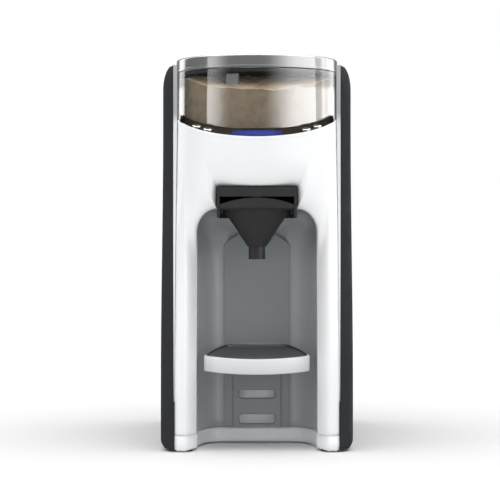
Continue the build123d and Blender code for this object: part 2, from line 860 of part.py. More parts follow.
def funnel():
    """Mixing funnel: a flange that slides on the rails, a cone, a narrow spout and a front lip."""
    flange = block(-flange_half, flange_half, -149.4, -78, flange_low_z, flange_top_z)
    outside = Pos(0, funnel_y, neck_z) * Cone(neck_radius, cone_top_radius, flange_top_z - neck_z,
                                              align=(Align.CENTER, Align.CENTER, Align.MIN))
    inside = Pos(0, funnel_y, neck_z) * Cone(neck_radius - funnel_wall, cone_top_radius - funnel_wall,
                                             flange_top_z - neck_z + 0.01,
                                             align=(Align.CENTER, Align.CENTER, Align.MIN))
    body = flange + outside + disc(0, funnel_y, spout_low_z, neck_z, spout_radius)
    body += funnel_lip()
    body -= inside
    return body - disc(0, funnel_y, spout_low_z - 1, neck_z + 1, spout_radius - funnel_wall)


def funnel_lip():
    """Arched lip on the funnel's front, to pull it out by."""
    crown = ThreePointArc((-lip_half, 229.2), (0, 235.4), (lip_half, 229.2))
    foot = Polyline((lip_half, 229.2), (lip_half, 225.8), (-lip_half, 225.8), (-lip_half, 229.2))
    face = Plane.XZ.offset(149.4) * make_face(Curve() + [crown, foot])
    return extrude(face, 3.6) + block(-flange_half, flange_half, -150, -146, flange_low_z, 229)


def tray_plan(inset):
    """Plan of the tray: a bowed front, and sides that sweep round to a flat back as the bay does."""
    half = tray_half - inset
    side, nose = tray_side_y + inset, tray_nose_y + inset
    bow = ThreePointArc((-half, side), (0, nose), (half, side))
    sides = [Line((half, side), (half, tray_bend_y)), Line((-half, tray_bend_y), (-half, side))]
    near = Curve() + [bow] + sides
    return swept_plan(half, tray_flat_half, tray_bend_y, tray_back_y - inset, near)


def tray_front_view(low, high):
    """Front view of the tray with a slight smile, carried back and up."""
    reach = 60
    end_low, end_high = low + tray_low_lift, high + tray_top_lift
    lower = ThreePointArc((-reach, end_low), (0, low), (reach, end_low))
    upper = ThreePointArc((reach, end_high), (0, high), (-reach, end_high))
    ends = [Line((reach, end_low), (reach, end_high)), Line((-reach, end_high), (-reach, end_low))]
    face = Plane.XZ.offset(-tray_nose_y) * make_face(Curve() + [lower, ends[0], upper, ends[1]])
    return extrude(face, 90, dir=(0, 1, tray_climb))


def tray_body():
    """White dish of the tray, with a deep front band."""
    body = extrude(tray_plan(0), 120) & tray_front_view(tray_low_z, tray_top_z)
    pocket = Pos(0, 0, tray_low_z + tray_floor) * extrude(tray_plan(tray_wall), 40)
    return body - pocket


def tray_insert():
    """Dark removable plate that the bottle stands on."""
    low = tray_low_z + tray_floor + 0.1
    plate = Pos(0, 0, low) * extrude(tray_plan(tray_wall + 0.4), insert_thick)
    rib_top = low + insert_thick
    for row in range(groove_rows):
        y = insert_middle_y + (row - (groove_rows - 1) / 2) * groove_pitch
        plate -= block(-30, 30, y, y + 1.6, rib_top - 0.9, rib_top + 1)
    return plate


def tray_bracket():
    """Bracket on the tray's back: two lugs pass through the guide grooves and hook behind the liner."""
    wide = tray_flat_half - 0.5
    bracket = block(-wide, wide, tray_back_y + 0.1, bracket_back_y, tray_low_z + 6, tray_low_z + 18)
    hook_y = bay_back_y + 3.3
    for side in (-1, 1):
        neck, hook = groove_half - 0.15, 3.5
        middle = side * groove_x
        near, far = bracket_back_y - 0.1, hook_y + 3.2
        bracket += block(middle - neck, middle + neck, near, far, tray_low_z, tray_top_z)
        bracket += block(middle - hook, middle + hook, hook_y, far, tray_low_z, tray_top_z)
    return bracket


def frame_window_places():
    """Centres of the four round windows in the frame plate."""
    return [(-50, 120), (20, 120), (-50, 60), (20, 60)]


def internal_frame():
    """Upright frame plate with a shelf for the gearbox, gussets and a foot flange."""
    back = frame_y + frame_thick
    plate = block(-frame_half, frame_half, frame_y, back, frame_foot_z, shelf_low_z)
    shelf = block(-frame_half, frame_half, -63, 50, shelf_low_z, case_low_z - 0.1)
    frame = plate + shelf + block(-frame_half, frame_half, frame_y, -28, frame_foot_z, frame_foot_z + 2.8)
    for side in (-1, 1):
        frame += block(side * (frame_half - frame_thick), side * frame_half, frame_y, 50, 200, shelf_low_z)
    frame -= disc(0, pinion_y, shelf_low_z - 1, case_low_z, 6)
    frame -= disc(0, gear_y, shelf_low_z - 1, case_low_z, 10)
    frame -= block(riser_x - 8, riser_x + 8, frame_y - 1, back + 1, spout_z - 8, spout_z + 8)
    frame -= block(cable_x - 2, cable_x + 14, frame_y - 1, back + 1, 252, 268)
    for x, z in frame_window_places():
        frame -= rod((x, frame_y - 1, z), (x, back + 1, z), frame_window)
    return frame


def main_board():
    """Circuit board that feeds the pump, the heater and the motor, with its parts soldered on."""
    board = block(board_x[0], board_x[1], board_y, board_y + board_thick, board_z[0], board_z[1])
    for x, z in board_screw_places():
        board -= rod((x, board_y - 1, z), (x, board_y + board_thick + 1, z), 1.7)
    return board + board_parts()


def board_screw_places():
    """Centres of the main board's screws."""
    return [(x, z) for z in (board_z[0] + board_margin, board_z[1] - board_margin)
            for x in (board_x[0] + board_margin, board_x[1] - board_margin)]


def board_screws():
    """Screws with their spacers, which hold the main board off the frame."""
    screws = []
    face = board_y + board_thick + 0.1
    for x, z in board_screw_places():
        spacer = rod((x, frame_y + frame_thick, z), (x, board_y - 0.1, z), 3.0)
        shank = rod((x, board_y - 0.1, z), (x, face, z), 1.5)
        screws.append(spacer + shank + rod((x, face, z), (x, face + 1.8, z), 2.8))
    return screws


def board_parts():
    """Transformer, relay, capacitors, heat sink and plug sockets of the main board."""
    face = part_face_y
    transformer = block(-50, -28, face, face + 21.5, 140, 160)
    relay = block(8, 22, face, face + 11.5, 145, 170)
    sockets = block(10, 20, face, face + 8, 184, 196) + block(-50, -34, face, face + 8, 188, 196)
    parts = transformer + relay + sockets
    for x, z, radius, tall in ((-19, 150, 6, 20), (-5, 150, 5, 16), (-40, 178, 4, 12), (-28, 178, 4, 12)):
        parts += rod((x, face, z), (x, face + tall, z), radius)
    low, high = 170, 195
    first, span = -14, (fin_count - 1) * fin_pitch
    parts += block(first, first + span + 2, face, face + 3, low, high)
    for fin in range(fin_count):
        x = first + fin * fin_pitch
        parts += block(x, x + 1.4, face, face + 16, low, high)
    return parts


def ribbon_cable():
    """Flat cable from the control board back over the funnel housing to the main board."""
    route = FilletPolyline((-143, 287.0), (-130, 262), (-60, 259), (-34.6, 258), (-33.5, 200), radius=7)
    return extrude(Plane.YZ.offset(cable_x) * trace(route, 0.7), cable_wide)


def hose(points, radius):
    """Rubber hose along a route with round bends."""
    path = FilletPolyline(*points, radius=radius)
    start = Plane(path @ 0, z_dir=path % 0)
    return sweep(start * Circle(hose_radius), path=path) - sweep(start * Circle(hose_bore), path=path)


def inlet_hose():
    """From the tank dock down and forward to the pump."""
    under = dock_shelf_z - 6
    return hose([(0, valve_y, under), (0, valve_y, pump_z), (pump_x, 70, pump_z), (pump_x, 42.2, pump_z)], 12)


def pump_hose():
    """From the pump up and across to the foot of the heater."""
    over, beside = 74, -8
    return hose([(pump_x, pump_outlet_y, 50.2), (pump_x, pump_outlet_y, over), (beside, heater_y, over),
                 (beside, heater_y, heater_inlet_z), (heater_x - 22.2, heater_y, heater_inlet_z)], 9)


def spout_hose():
    """From the top of the heater up through the frame and forward to the spout."""
    end = spout_y()
    top = heater_high_z + 10.2
    riser = [(heater_x, heater_y, top), (heater_x, heater_y, 150), (riser_x, -10, 190), (riser_x, -14, spout_z)]
    return hose(riser + [(riser_x, end, spout_z), (14.2, end, spout_z)], 12)


def water_hoses():
    """The three hoses of the water path, each its own solid."""
    return Compound(children=[inlet_hose(), pump_hose(), spout_hose()])


def water_pump():
    """Pump with its motor, an inlet at the back and an outlet on top."""
    foot = pan_floor_top + 6.7
    head = block(pump_x - pump_half, pump_x + pump_half, pump_front_y, pump_back_y, foot, pump_head_z)
    motor = rod((pump_x, pump_back_y, pump_z), (pump_x, pump_back_y + 20, pump_z), pump_radius)
    inlet = rod((pump_x, pump_back_y + 20, pump_z), (pump_x, pump_back_y + 24, pump_z), barb_radius)
    outlet = disc(pump_x, pump_outlet_y, pump_head_z, pump_head_z + 6, barb_radius)
    nose = rod((pump_x, pump_front_y, pump_z), (pump_x, pump_front_y - 6, pump_z), 9)
    return head + motor + inlet + outlet + nose


def pump_cradle():
    """Soft cradle that keeps the pump's hum out of the pan."""
    grip = pump_half + 3
    cradle = block(pump_x - grip, pump_x + grip, pump_front_y - 2, pump_back_y + 16, pan_floor_top + 0.1, 20)
    fit = pump_half + 0.05
    cradle -= block(pump_x - fit, pump_x + fit, pump_front_y - 8, pump_back_y + 0.1, pan_floor_top + 6.6, 60)
    return cradle - rod((pump_x, pump_back_y, pump_z), (pump_x, 60, pump_z), pump_radius + 0.05)


def water_heater():
    """Flow heater: a metal tank with fittings at its foot and top, and its thermostat."""
    x, y = heater_x, heater_y
    heater = disc(x, y, heater_low_z, heater_high_z, heater_radius)
    heater += disc(x, y, heater_low_z - heater_cap, heater_low_z, heater_radius - 5)
    heater += disc(x, y, heater_high_z, heater_high_z + heater_cap, heater_radius - 5)
    heater += rod((x - 19.5, y, heater_inlet_z), (x - 22, y, heater_inlet_z), barb_radius)
    heater += disc(x, y, heater_high_z + heater_cap, heater_high_z + 10, barb_radius)
    return Compound(children=[heater, heater_thermostat()])


def heater_clamp():
    """Strap round the heater, screwed to the frame, with a leg down to the pan."""
    low, high = strap_z
    strap = ring(heater_x, heater_y, low, high, heater_radius + 2, heater_radius + 0.05)
    strap += block(heater_x - 3, heater_x + 3, frame_y + frame_thick + 0.05, heater_y - 21, low, high)
    leg = heater_x + heater_radius + 0.6
    return strap + block(leg, leg + 3.4, heater_y - 3, heater_y + 3, pan_floor_top + 0.1, high)


def heater_thermostat():
    """Safety thermostat clipped to the heater's side."""
    near = heater_y + heater_radius + 0.1
    cup = rod((heater_x, near, thermostat_z), (heater_x, near + 6.9, thermostat_z), 8)
    return cup + block(heater_x - 8, heater_x + 8, near, near + 1.9, thermostat_z - 6, thermostat_z + 6)


def top_deck():
    """Cover between the drum and the tank, with a wall that follows the back of the drum."""
    reach = drum_radius + dock_gap
    deck = block(-pan_half, pan_half, drum_y, tank_front_y - 0.4, deck_top_z - 2.5, deck_top_z)
    wall_ring = ring(0, drum_y, dock_low_z - 3, deck_top_z - 0.1, reach + 2.2, reach)
    deck += wall_ring & block(-pan_half, pan_half, drum_y + 7.5, tank_front_y, 250, 400)
    return deck - disc(0, drum_y, 200, 420, reach)


def tank_bulkhead():
    """Wall between the works and the water tank."""
    back = bulkhead_y + 2.5
    wall_plate = block(-pan_half, pan_half, bulkhead_y, back, seam_z + 0.2, deck_top_z - 2.6)
    wall_plate += block(0.3 - pan_inner, pan_inner - 0.3, bulkhead_y, back, pan_floor_top + 0.1, seam_z + 0.2)
    return wall_plate - rod((pump_x, bulkhead_y - 1, pump_z), (pump_x, back + 1, pump_z), hose_radius + 1)


def tank_dock():
    """Shelf under the tank with the seat of its valve, and a sump below with the hose barb."""
    dock = block(-pan_half, pan_half, bulkhead_y + 2.6, rear_y - 2.6, dock_shelf_z, tank_low_z - 0.4)
    dock += ring(0, valve_y, tank_low_z - 1, tank_low_z + 3.8, 13.5, seat_radius)
    dock += disc(0, valve_y, sump_low_z, dock_shelf_z + 0.1, sump_radius)
    dock -= disc(0, valve_y, sump_low_z + 1.6, dock_shelf_z, sump_radius - 1.9)
    dock += disc(0, valve_y, sump_low_z - 1.8, sump_low_z + 0.1, barb_radius)
    dock -= disc(0, valve_y, sump_low_z - 3, sump_low_z + 2, hose_bore)
    for turn in (45, 135, 225, 315):
        x = 6.5 * math.cos(math.radians(turn))
        y = valve_y + 6.5 * math.sin(math.radians(turn))
        dock -= disc(x, y, dock_shelf_z - 1, tank_low_z, 1.6)
    return dock


def dock_seal():
    """Rubber ring in the valve's seat."""
    return ring(0, valve_y, tank_low_z - 0.3, tank_low_z + 1.7, seat_radius - 0.1, 9.2)


def tank_plan(inset):
    """Plan of the tank: square in front, large round corners behind."""
    plan = Pos(0, (tank_front_y + tank_rear_y) / 2)
    plan *= RectangleRounded(2 * (tank_half - inset), tank_rear_y - tank_front_y - 2 * inset, 16 - inset)
    return plan


def water_tank():
    """Clear lift-off tank with a raised floor, a valve hole and hinge ears."""
    tank = Pos(0, 0, tank_low_z) * extrude(tank_plan(0), tank_top_z - tank_low_z)
    tank -= Pos(0, 0, tank_floor_z + tank_wall) * extrude(tank_plan(tank_wall), 400)
    tank -= Pos(0, 0, tank_low_z - 1) * extrude(tank_plan(tank_wall), tank_floor_z - tank_low_z + 1)
    tank -= disc(0, valve_y, tank_low_z - 1, tank_floor_z + 14, valve_radius + 0.05)
    near, far = ear_x
    for side in (-1, 1):
        for x in (near, far):
            tank += block(side * x, side * (x + ear_thick), tank_rear_y - 1, hinge_y, hinge_z - 5, hinge_z)
            tank += rod((side * x, hinge_y, hinge_z), (side * (x + ear_thick), hinge_y, hinge_z), knuckle)
        tank -= rod((side * 30, hinge_y, hinge_z), (side * 60, hinge_y, hinge_z), pin_radius + 0.05)
        tank -= block(side * (near + ear_thick), side * far, tank_rear_y, 170, hinge_z - 9, hinge_z + 11)
    return tank


def tank_lid():
    """Flat lid with a finger lip in front and two hinge arms behind."""
    low = tank_top_z + 0.3
    high = low + tank_lid_thick
    lid = Pos(0, 0, low) * extrude(tank_plan(0.3), tank_lid_thick)
    lid += Pos(0, 0, high) * (extrude(tank_plan(10), 1.4) - extrude(tank_plan(13), 2))
    lid += block(-14, 14, tank_front_y + 0.2, tank_front_y + 4, high, high + 2.7)
    near, far = ear_x[0] + ear_thick + 0.3, ear_x[1] - 0.3
    for side in (-1, 1):
        lid += block(side * near, side * far, tank_rear_y - 6, hinge_y, low, high)
        lid += rod((side * near, hinge_y, hinge_z), (side * far, hinge_y, hinge_z), knuckle)
        lid += block(side * near, side * far, hinge_y - 1, hinge_y + 1, hinge_z, low + 0.1)
        lid -= rod((side * 30, hinge_y, hinge_z), (side * 60, hinge_y, hinge_z), pin_radius + 0.05)
    return lid


def hinge_pins():
    """Steel pins of the tank lid's hinge."""
    pins = []
    near, far = ear_x[0] - 0.2, ear_x[1] + ear_thick + 0.2
    for side in (-1, 1):
        pins.append(rod((side * near, hinge_y, hinge_z), (side * far, hinge_y, hinge_z), pin_radius))
    return Compound(children=pins)


def valve_body():
    """Valve housing in the tank's floor: a guide below and a seat above."""
    inner_floor = tank_floor_z + tank_wall
    body = disc(0, valve_y, tank_low_z + 1.2, inner_floor + 5, valve_radius)
    body += disc(0, valve_y, inner_floor, inner_floor + 2, 12)
    body -= disc(0, valve_y, tank_low_z + 3, inner_floor + 3.4, 6.8)
    body -= disc(0, valve_y, 60, 80, stem_radius + 0.08)
    body -= disc(0, valve_y, inner_floor + 2.6, 80, 4.4)
    for turn in range(0, 360, 90):
        angle = math.radians(turn)
        body -= disc(4.9 * math.cos(angle), valve_y + 4.9 * math.sin(angle), 60, 65, 1.5)
    return body


def valve_plunger():
    """Valve stem with its head on the seat and a collar under the spring."""
    head_low = tank_floor_z + tank_wall + 5.1
    collar_low = tank_low_z + 3.6
    stem = disc(0, valve_y, tank_low_z + 0.2, head_low + 2.5, stem_radius)
    stem += disc(0, valve_y, head_low, head_low + 1.8, 6.2)
    return stem + disc(0, valve_y, collar_low, collar_low + 1.0, 4.6)


def valve_spring():
    """Coil spring that closes the valve."""
    coil = Helix(pitch=1.6, height=4.8, radius=3.7)
    wire = sweep(Plane(coil @ 0, z_dir=coil % 0) * Circle(0.35), path=coil)
    return Pos(0, valve_y, tank_low_z + 5) * wire


def rear_cover():
    """Rear panel under the tank, with the places of the switch and the cord gland."""
    inside = rear_y - 2.5
    cover = block(-pan_half, pan_half, inside, rear_y, seam_z + 0.2, tank_low_z - 0.4)
    wide, tall = switch_half
    cover -= block(switch_x - wide - 0.1, switch_x + wide + 0.1, 150, 170, rear_mid_z - tall, rear_mid_z + tall)
    cover -= rod((gland_x, 150, rear_mid_z), (gland_x, 170, rear_mid_z), gland_neck + 0.05)
    for vent in range(vent_count):
        x = (vent - (vent_count - 1) / 2) * vent_pitch
        cover -= block(x - 1.5, x + 1.5, 150, 170, rear_mid_z - 11, rear_mid_z + 11)
    for x, z in rear_screw_places():
        cover -= rod((x, 150, z), (x, 170, z), 1.8)
    return cover


def rear_screw_places():
    """Centres of the rear cover's screws."""
    return [(x, z) for z in (24, 52) for x in (-72, 72)]


def rear_screws():
    """Screws of the rear cover."""
    screws = []
    for x, z in rear_screw_places():
        screws.append(rod((x, 147, z), (x, rear_y, z), 1.7) + rod((x, rear_y, z), (x, rear_y + 2, z), 3.4))
    return screws


def switch_bezel():
    """Frame of the mains switch, with a hole on each side for the rocker's pivot."""
    wide, tall = switch_half
    bezel = block(switch_x - 12, switch_x + 12, rear_y, rear_y + 1.6, rear_mid_z - 9, rear_mid_z + 9)
    low, high = rear_mid_z - tall + 0.1, rear_mid_z + tall - 0.1
    bezel += block(switch_x - wide, switch_x + wide, 144, rear_y + 0.1, low, high)
    bezel -= block(switch_x - 8.5, switch_x + 8.5, 146, 170, rear_mid_z - 5.6, rear_mid_z + 5.6)
    return bezel - pivot_rod(wide + 1, pivot_radius + 0.08)


def pivot_rod(reach, radius):
    """Round bar along the rocker's pivot."""
    y = rear_y - pivot_depth
    return rod((switch_x - reach, y, rear_mid_z), (switch_x + reach, y, rear_mid_z), radius)


def power_rocker():
    """Rocker of the mains switch, tipped to off, with the stubs of its pivot."""
    outline = Polyline((-4.3, 4.6), (0, 3.4), (4.3, 4.6), (3.6, 0), (-3.6, 0), (-4.3, 4.6))
    wedge = extrude(Plane.YZ * make_face(outline), 8.2, both=True)
    wedge = Pos(switch_x, rear_y - pivot_depth, rear_mid_z) * Rot(-90 - 8, 0, 0) * wedge
    return wedge + pivot_rod(switch_half[0] - 0.5, pivot_radius)


def cord_gland():
    """Gland that the mains lead would pass through, in its place in the rear cover."""
    gland = rod((gland_x, 153, rear_mid_z), (gland_x, back_y - 1, rear_mid_z), gland_neck)
    gland += rod((gland_x, rear_y, rear_mid_z), (gland_x, back_y, rear_mid_z), gland_neck + 2.05)
    return gland - rod((gland_x, 150, rear_mid_z), (gland_x, 165, rear_mid_z), gland_bore)


def gearbox_screws():
    """Screws that close the gearbox."""
    screws = []
    face = case_top_z + case_wall
    for x, y in cover_screw_places():
        screws.append(disc(x, y, case_top_z - 8, face, 1.0) + disc(x, y, face, dock_low_z - 0.1, 2.2))
    return screws


def screws():
    """All the self-tapping screws, each its own solid."""
    return Compound(children=pan_screws() + rear_screws() + gearbox_screws() + board_screws())


def part_nodes():
    """Every node of the machine, by name."""
    panel = side_panel()
    return {
        "base_pan": base_pan(),
        "rubber_feet": rubber_feet(),
        "screws": screws(),
        "front_shell": front_shell(),
        "right_side_panel": panel,
        "left_side_panel": mirrored(panel),
        "trim_strips": trim_strips(),
        "bay_liner": bay_liner(),
        "track_plate": track_plate(),
        "kick_panel": kick_panel(),
        "control_panel": control_panel(),
        "display": display(),
        "button_far_left": button(-button_angles[1]),
        "button_left": button(-button_angles[0]),
        "button_right": button(button_angles[0]),
        "button_far_right": button(button_angles[1]),
        "control_board": control_board(),
        "ribbon_cable": ribbon_cable(),
        "drive_gear": drive_gear(),
        "drive_shaft": drive_shaft(),
        "drive_bushes": drive_bushes(),
        "motor_pinion": motor_pinion(),
        "gear_motor": gear_motor(),
        "gearbox_case": gearbox_case(),
        "gearbox_cover": gearbox_cover(),
        "powder_dock": powder_dock(),
        "powder_container": powder_container(),
        "container_floor": container_floor(),
        "powder_wheel": powder_wheel(),
        "stirrer": stirrer(),
        "formula_powder": formula_powder(),
        "container_lid": container_lid(),
        "lid_gasket": lid_gasket(),
        "funnel_housing": funnel_housing(),
        "water_spout": water_spout(),
        "funnel": funnel(),
        "tray_body": tray_body(),
        "tray_insert": tray_insert(),
        "tray_bracket": tray_bracket(),
        "internal_frame": internal_frame(),
        "main_board": main_board(),
        "water_hoses": water_hoses(),
        "water_pump": water_pump(),
        "pump_cradle": pump_cradle(),
        "water_heater": water_heater(),
        "heater_clamp": heater_clamp(),
        "top_deck": top_deck(),
        "tank_bulkhead": tank_bulkhead(),
        "tank_dock": tank_dock(),
        "water_tank": water_tank(),
        "tank_lid": tank_lid(),
        "hinge_pins": hinge_pins(),
        "valve_body": valve_body(),
        "valve_plunger": valve_plunger(),
        "valve_spring": valve_spring(),
        "rear_cover": rear_cover(),
        "switch_bezel": switch_bezel(),
        "power_rocker": power_rocker(),
        "cord_gland": cord_gland(),
        "dock_seal": dock_seal(),
    }


os.makedirs("parts", exist_ok=True)
for name, shape in part_nodes().items():
    export_step(shape, f"parts/{name}.step")
    print(name, round(shape.volume / 1000, 1), "cm3")
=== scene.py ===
import json
import math
import bpy
import bmesh
import numpy as np
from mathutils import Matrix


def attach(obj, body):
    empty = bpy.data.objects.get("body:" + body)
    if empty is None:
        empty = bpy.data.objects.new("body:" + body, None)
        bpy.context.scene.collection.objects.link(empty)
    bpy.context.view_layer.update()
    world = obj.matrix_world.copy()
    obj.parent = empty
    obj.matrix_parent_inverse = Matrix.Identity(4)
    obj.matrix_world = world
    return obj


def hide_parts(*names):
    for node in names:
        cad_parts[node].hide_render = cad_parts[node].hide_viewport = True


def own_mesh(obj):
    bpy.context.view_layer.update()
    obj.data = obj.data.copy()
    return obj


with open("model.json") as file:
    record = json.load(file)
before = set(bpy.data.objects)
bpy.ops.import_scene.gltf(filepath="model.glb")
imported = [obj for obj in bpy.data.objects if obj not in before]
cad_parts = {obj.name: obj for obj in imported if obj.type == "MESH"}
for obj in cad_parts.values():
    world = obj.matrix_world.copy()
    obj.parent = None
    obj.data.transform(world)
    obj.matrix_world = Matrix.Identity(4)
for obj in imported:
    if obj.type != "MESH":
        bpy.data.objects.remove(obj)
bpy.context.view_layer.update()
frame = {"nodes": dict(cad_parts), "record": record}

mm = 0.001
halfTurn = math.pi

machine = {
    "frontY": -162.5, "backY": 162.5, "seam": 15.4, "seamGap": 0.2,
    "rimZ": 291.6, "rimLean": 18.6, "rimEndZ": 305.0,
    "cornerLowY": -150.5, "cornerHighY": -107.0, "bendLowZ": 60.0, "bendHighZ": 300.0, "cornerGap": 0.1,
    "panelInnerX": 79.6, "panelGap": 0.4, "edgeDraw": 2.4, "drawLowZ": 30.0, "drawHighZ": 290.0,
    "stripFootZ": 45.0, "stripWide": 3.3, "stripGap": 0.3, "shellGap": 0.15,
    "bayHalf": 56.2, "bayBackY": -67.5, "bayFlat": 34.2, "baySweep": 50.5, "linerGap": 0.3,
    "shoulderZ": 203.0, "crownZ": 225.5, "crownHalf": 37.5, "housingTop": 245.7, "housingGap": 0.5,
}


def ease(low, high, value):  # 3t^2 - 2t^3, from 0 at low to 1 at high
    t = np.clip((value - low) / (high - low), 0.0, 1.0)
    return t * t * (3.0 - 2.0 * t)


def between(a, b, t):  # straight mix of two curves: a + (b - a) t
    return a + (b - a) * t


def quarter(count):  # angles of a quarter turn, from 0 to 90 degrees
    return np.radians(np.linspace(0, 90, count))


# meshes: every surface is one or more grids of points

def gridFaces(rows, cols, closeRows, closeCols):  # quad (i, j) joins point (i, j) to its three next neighbours
    i = np.arange(rows if closeRows else rows - 1)
    j = np.arange(cols if closeCols else cols - 1)
    a, b = np.meshgrid(i, j, indexing="ij")
    a2, b2 = (a + 1) % rows, (b + 1) % cols
    return np.stack([a * cols + b, a2 * cols + b, a2 * cols + b2, a * cols + b2], axis=-1).reshape(-1, 4)


def meshFromGrids(name, grids, sharp, outward):  # grids are (points in mm, closeRows, closeCols)
    points, faces, start = [], [], 0
    for grid, closeRows, closeCols in grids:
        grid = np.asarray(grid, dtype=float)
        faces.append(gridFaces(grid.shape[0], grid.shape[1], closeRows, closeCols) + start)
        points.append(grid.reshape(-1, 3))
        start += grid.shape[0] * grid.shape[1]
    mesh = bpy.data.meshes.new(name)
    mesh.from_pydata((np.concatenate(points) * mm).tolist(), [], np.concatenate(faces).tolist())
    work = bmesh.new()
    work.from_mesh(mesh)
    bmesh.ops.remove_doubles(work, verts=work.verts, dist=2e-6)
    bmesh.ops.dissolve_degenerate(work, edges=work.edges, dist=1e-7)
    if outward:
        bmesh.ops.recalc_face_normals(work, faces=work.faces)
    work.to_mesh(mesh)
    work.free()
    mesh.shade_smooth()
    mesh.set_sharp_from_angle(angle=math.radians(sharp))
    return mesh


def piece(name, body, grids, look, replaced, sharp=40.0, outward=True):  # rides a body for a CAD node
    obj = bpy.data.objects.new(name, meshFromGrids(name, grids, sharp, outward))
    bpy.context.scene.collection.objects.link(obj)
    obj.data.materials.append(finish[look])
    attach(obj, body)
    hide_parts(replaced)
    return obj


def sheet(name, surfaces, look, replaced, wall, sharp=40.0, even=True):  # open surfaces, given a wall inward
    grids = [(points, False, False) for points in surfaces]
    obj = piece(name, "housing", grids, look, replaced, sharp=sharp, outward=False)
    mod = obj.modifiers.new("wall", "SOLIDIFY")
    mod.thickness = wall * mm
    mod.offset = -1.0
    mod.use_even_offset = even


def turned(name, body, profile, centre, look, replaced, closed=True, sharp=40.0, turns=192):
    # radius r and height z of the profile, carried round an upright axis
    profile = np.asarray(profile, dtype=float)
    angle = np.linspace(0, 2 * halfTurn, turns, endpoint=False)
    r, z = profile[:, 0][:, None], profile[:, 1][:, None]
    x = centre[0] + r * np.cos(angle)[None, :]
    y = centre[1] + r * np.sin(angle)[None, :]
    points = np.stack([x, y, np.broadcast_to(z, x.shape)], axis=-1)
    piece(name, body, [(points, closed, True)], look, replaced, sharp=sharp)


def arcPoints(cx, cz, radius, fromDeg, toDeg, count):  # points on a circle between two angles
    a = np.radians(np.linspace(fromDeg, toDeg, count))
    return np.stack([cx + radius * np.cos(a), cz + radius * np.sin(a)], axis=-1)


def joined(*runs):  # runs of 2-D points end to end
    return np.concatenate([np.atleast_2d(np.asarray(run, dtype=float)) for run in runs])


def mirrored(run, signs=(-1, 1)):  # a run up to the middle, then its mirror image back
    return np.concatenate([run, run[-2::-1] * list(signs)])


def runLength(run):  # distance along a run up to each of its points
    return np.concatenate([[0], np.cumsum(np.hypot(*np.diff(run, axis=0).T))])


def alongRun(run, shares):  # points at given shares of a run's own length
    length = runLength(run)
    return np.stack([np.interp(shares * length[-1], length, run[:, k]) for k in (0, 1)], axis=-1)


def spread(outline, count):  # the closed outline again, as evenly spaced points by its length
    loop = np.vstack([outline, outline[:1]])
    step = np.hypot(*np.diff(loop, axis=0).T)
    loop = loop[np.concatenate([[True], step > 1e-6])]
    length = runLength(loop)
    at = np.linspace(0, length[-1], count, endpoint=False)
    return np.stack([np.interp(at, length, loop[:, k]) for k in (0, 1)], axis=-1)


def tube(path, radius, sides=14):  # circle carried along a path, turned by its own tangent and a fixed side way
    ahead = np.gradient(path, axis=0)
    ahead /= np.linalg.norm(ahead, axis=1)[:, None]
    side = np.cross(ahead, np.array([0.31, 0.87, 0.38]))
    side /= np.linalg.norm(side, axis=1)[:, None]
    up = np.cross(side, ahead)
    a = np.linspace(0, 2 * halfTurn, sides, endpoint=False)
    ring = np.cos(a)[None, :, None] * side[:, None, :] + np.sin(a)[None, :, None] * up[:, None, :]
    ends = [np.broadcast_to(point[None, None], (1, sides, 3)) for point in (path[0], path[-1])]
    return np.concatenate([ends[0], path[:, None, :] + radius * ring, ends[1]])


# the machine's own curves

def cornerY(z):  # how far forward the front corners stand at a height
    m = machine
    return between(m["cornerLowY"], m["cornerHighY"], ease(m["bendLowZ"], m["bendHighZ"], z))


def panelEdgeX(z):  # front edge of the side panel, drawn in a little at its foot
    m = machine
    return m["panelInnerX"] - m["panelGap"] - m["edgeDraw"] * (1 - ease(m["drawLowZ"], m["drawHighZ"], z))


def stripInnerX(z):  # inner edge of the trim strip, narrowing to its foot
    m = machine
    share = np.clip((z - m["stripFootZ"]) / (m["bendHighZ"] - m["stripFootZ"]), 0, 1)
    return panelEdgeX(z) - m["stripGap"] - m["stripWide"] * share


def shellEdgeX(z):  # outer edge of the front shell, beside the strip
    return stripInnerX(z) - machine["shellGap"]


def frontY(x, z):  # the bowed front: a circle through the nose and both corners at that height
    half = stripInnerX(z) - machine["cornerGap"]
    sag = cornerY(z) - machine["frontY"]
    radius = (half * half + sag * sag) / (2 * sag)
    return machine["frontY"] + radius - np.sqrt(np.maximum(radius * radius - x * x, 1.0))


def panelPlaneZ(y):  # height of the control panel's leaning plane
    return machine["rimZ"] + (y - machine["frontY"]) * math.tan(math.radians(machine["rimLean"]))


print("helpers ready")


# materials: all read Object coordinates, in metres

def feed(tree, node, inputs):  # a node's own sockets, each given a value or linked from another node
    for socket, value in inputs.items():
        if isinstance(value, bpy.types.NodeSocket):
            tree.links.new(value, node.inputs[socket])
        else:
            node.inputs[socket].default_value = value


def addNode(tree, kind, inputs, operation=None):  # the operation comes first, since it brings its own sockets
    node = tree.nodes.new("ShaderNode" + kind)
    if operation:
        node.operation = operation
    feed(tree, node, inputs)
    return node


def newMaterial(name):  # a material, its node tree, its shader and the object's own space
    mat = bpy.data.materials.new(name)
    mat.use_nodes = True
    tree = mat.node_tree
    for node in list(tree.nodes):
        if node.type not in {"BSDF_PRINCIPLED", "OUTPUT_MATERIAL"}:
            tree.nodes.remove(node)
    return mat, tree, tree.nodes["Principled BSDF"], addNode(tree, "TexCoord", {}).outputs["Object"]


def noiseFrom(tree, space, scale, detail, stretch=(1, 1, 1)):  # noise over the object's own space
    mapping = addNode(tree, "Mapping", {"Vector": space, "Scale": stretch})
    noise = addNode(tree, "TexNoise", {"Vector": mapping.outputs["Vector"], "Scale": scale, "Detail": detail})
    return noise.outputs["Fac"]


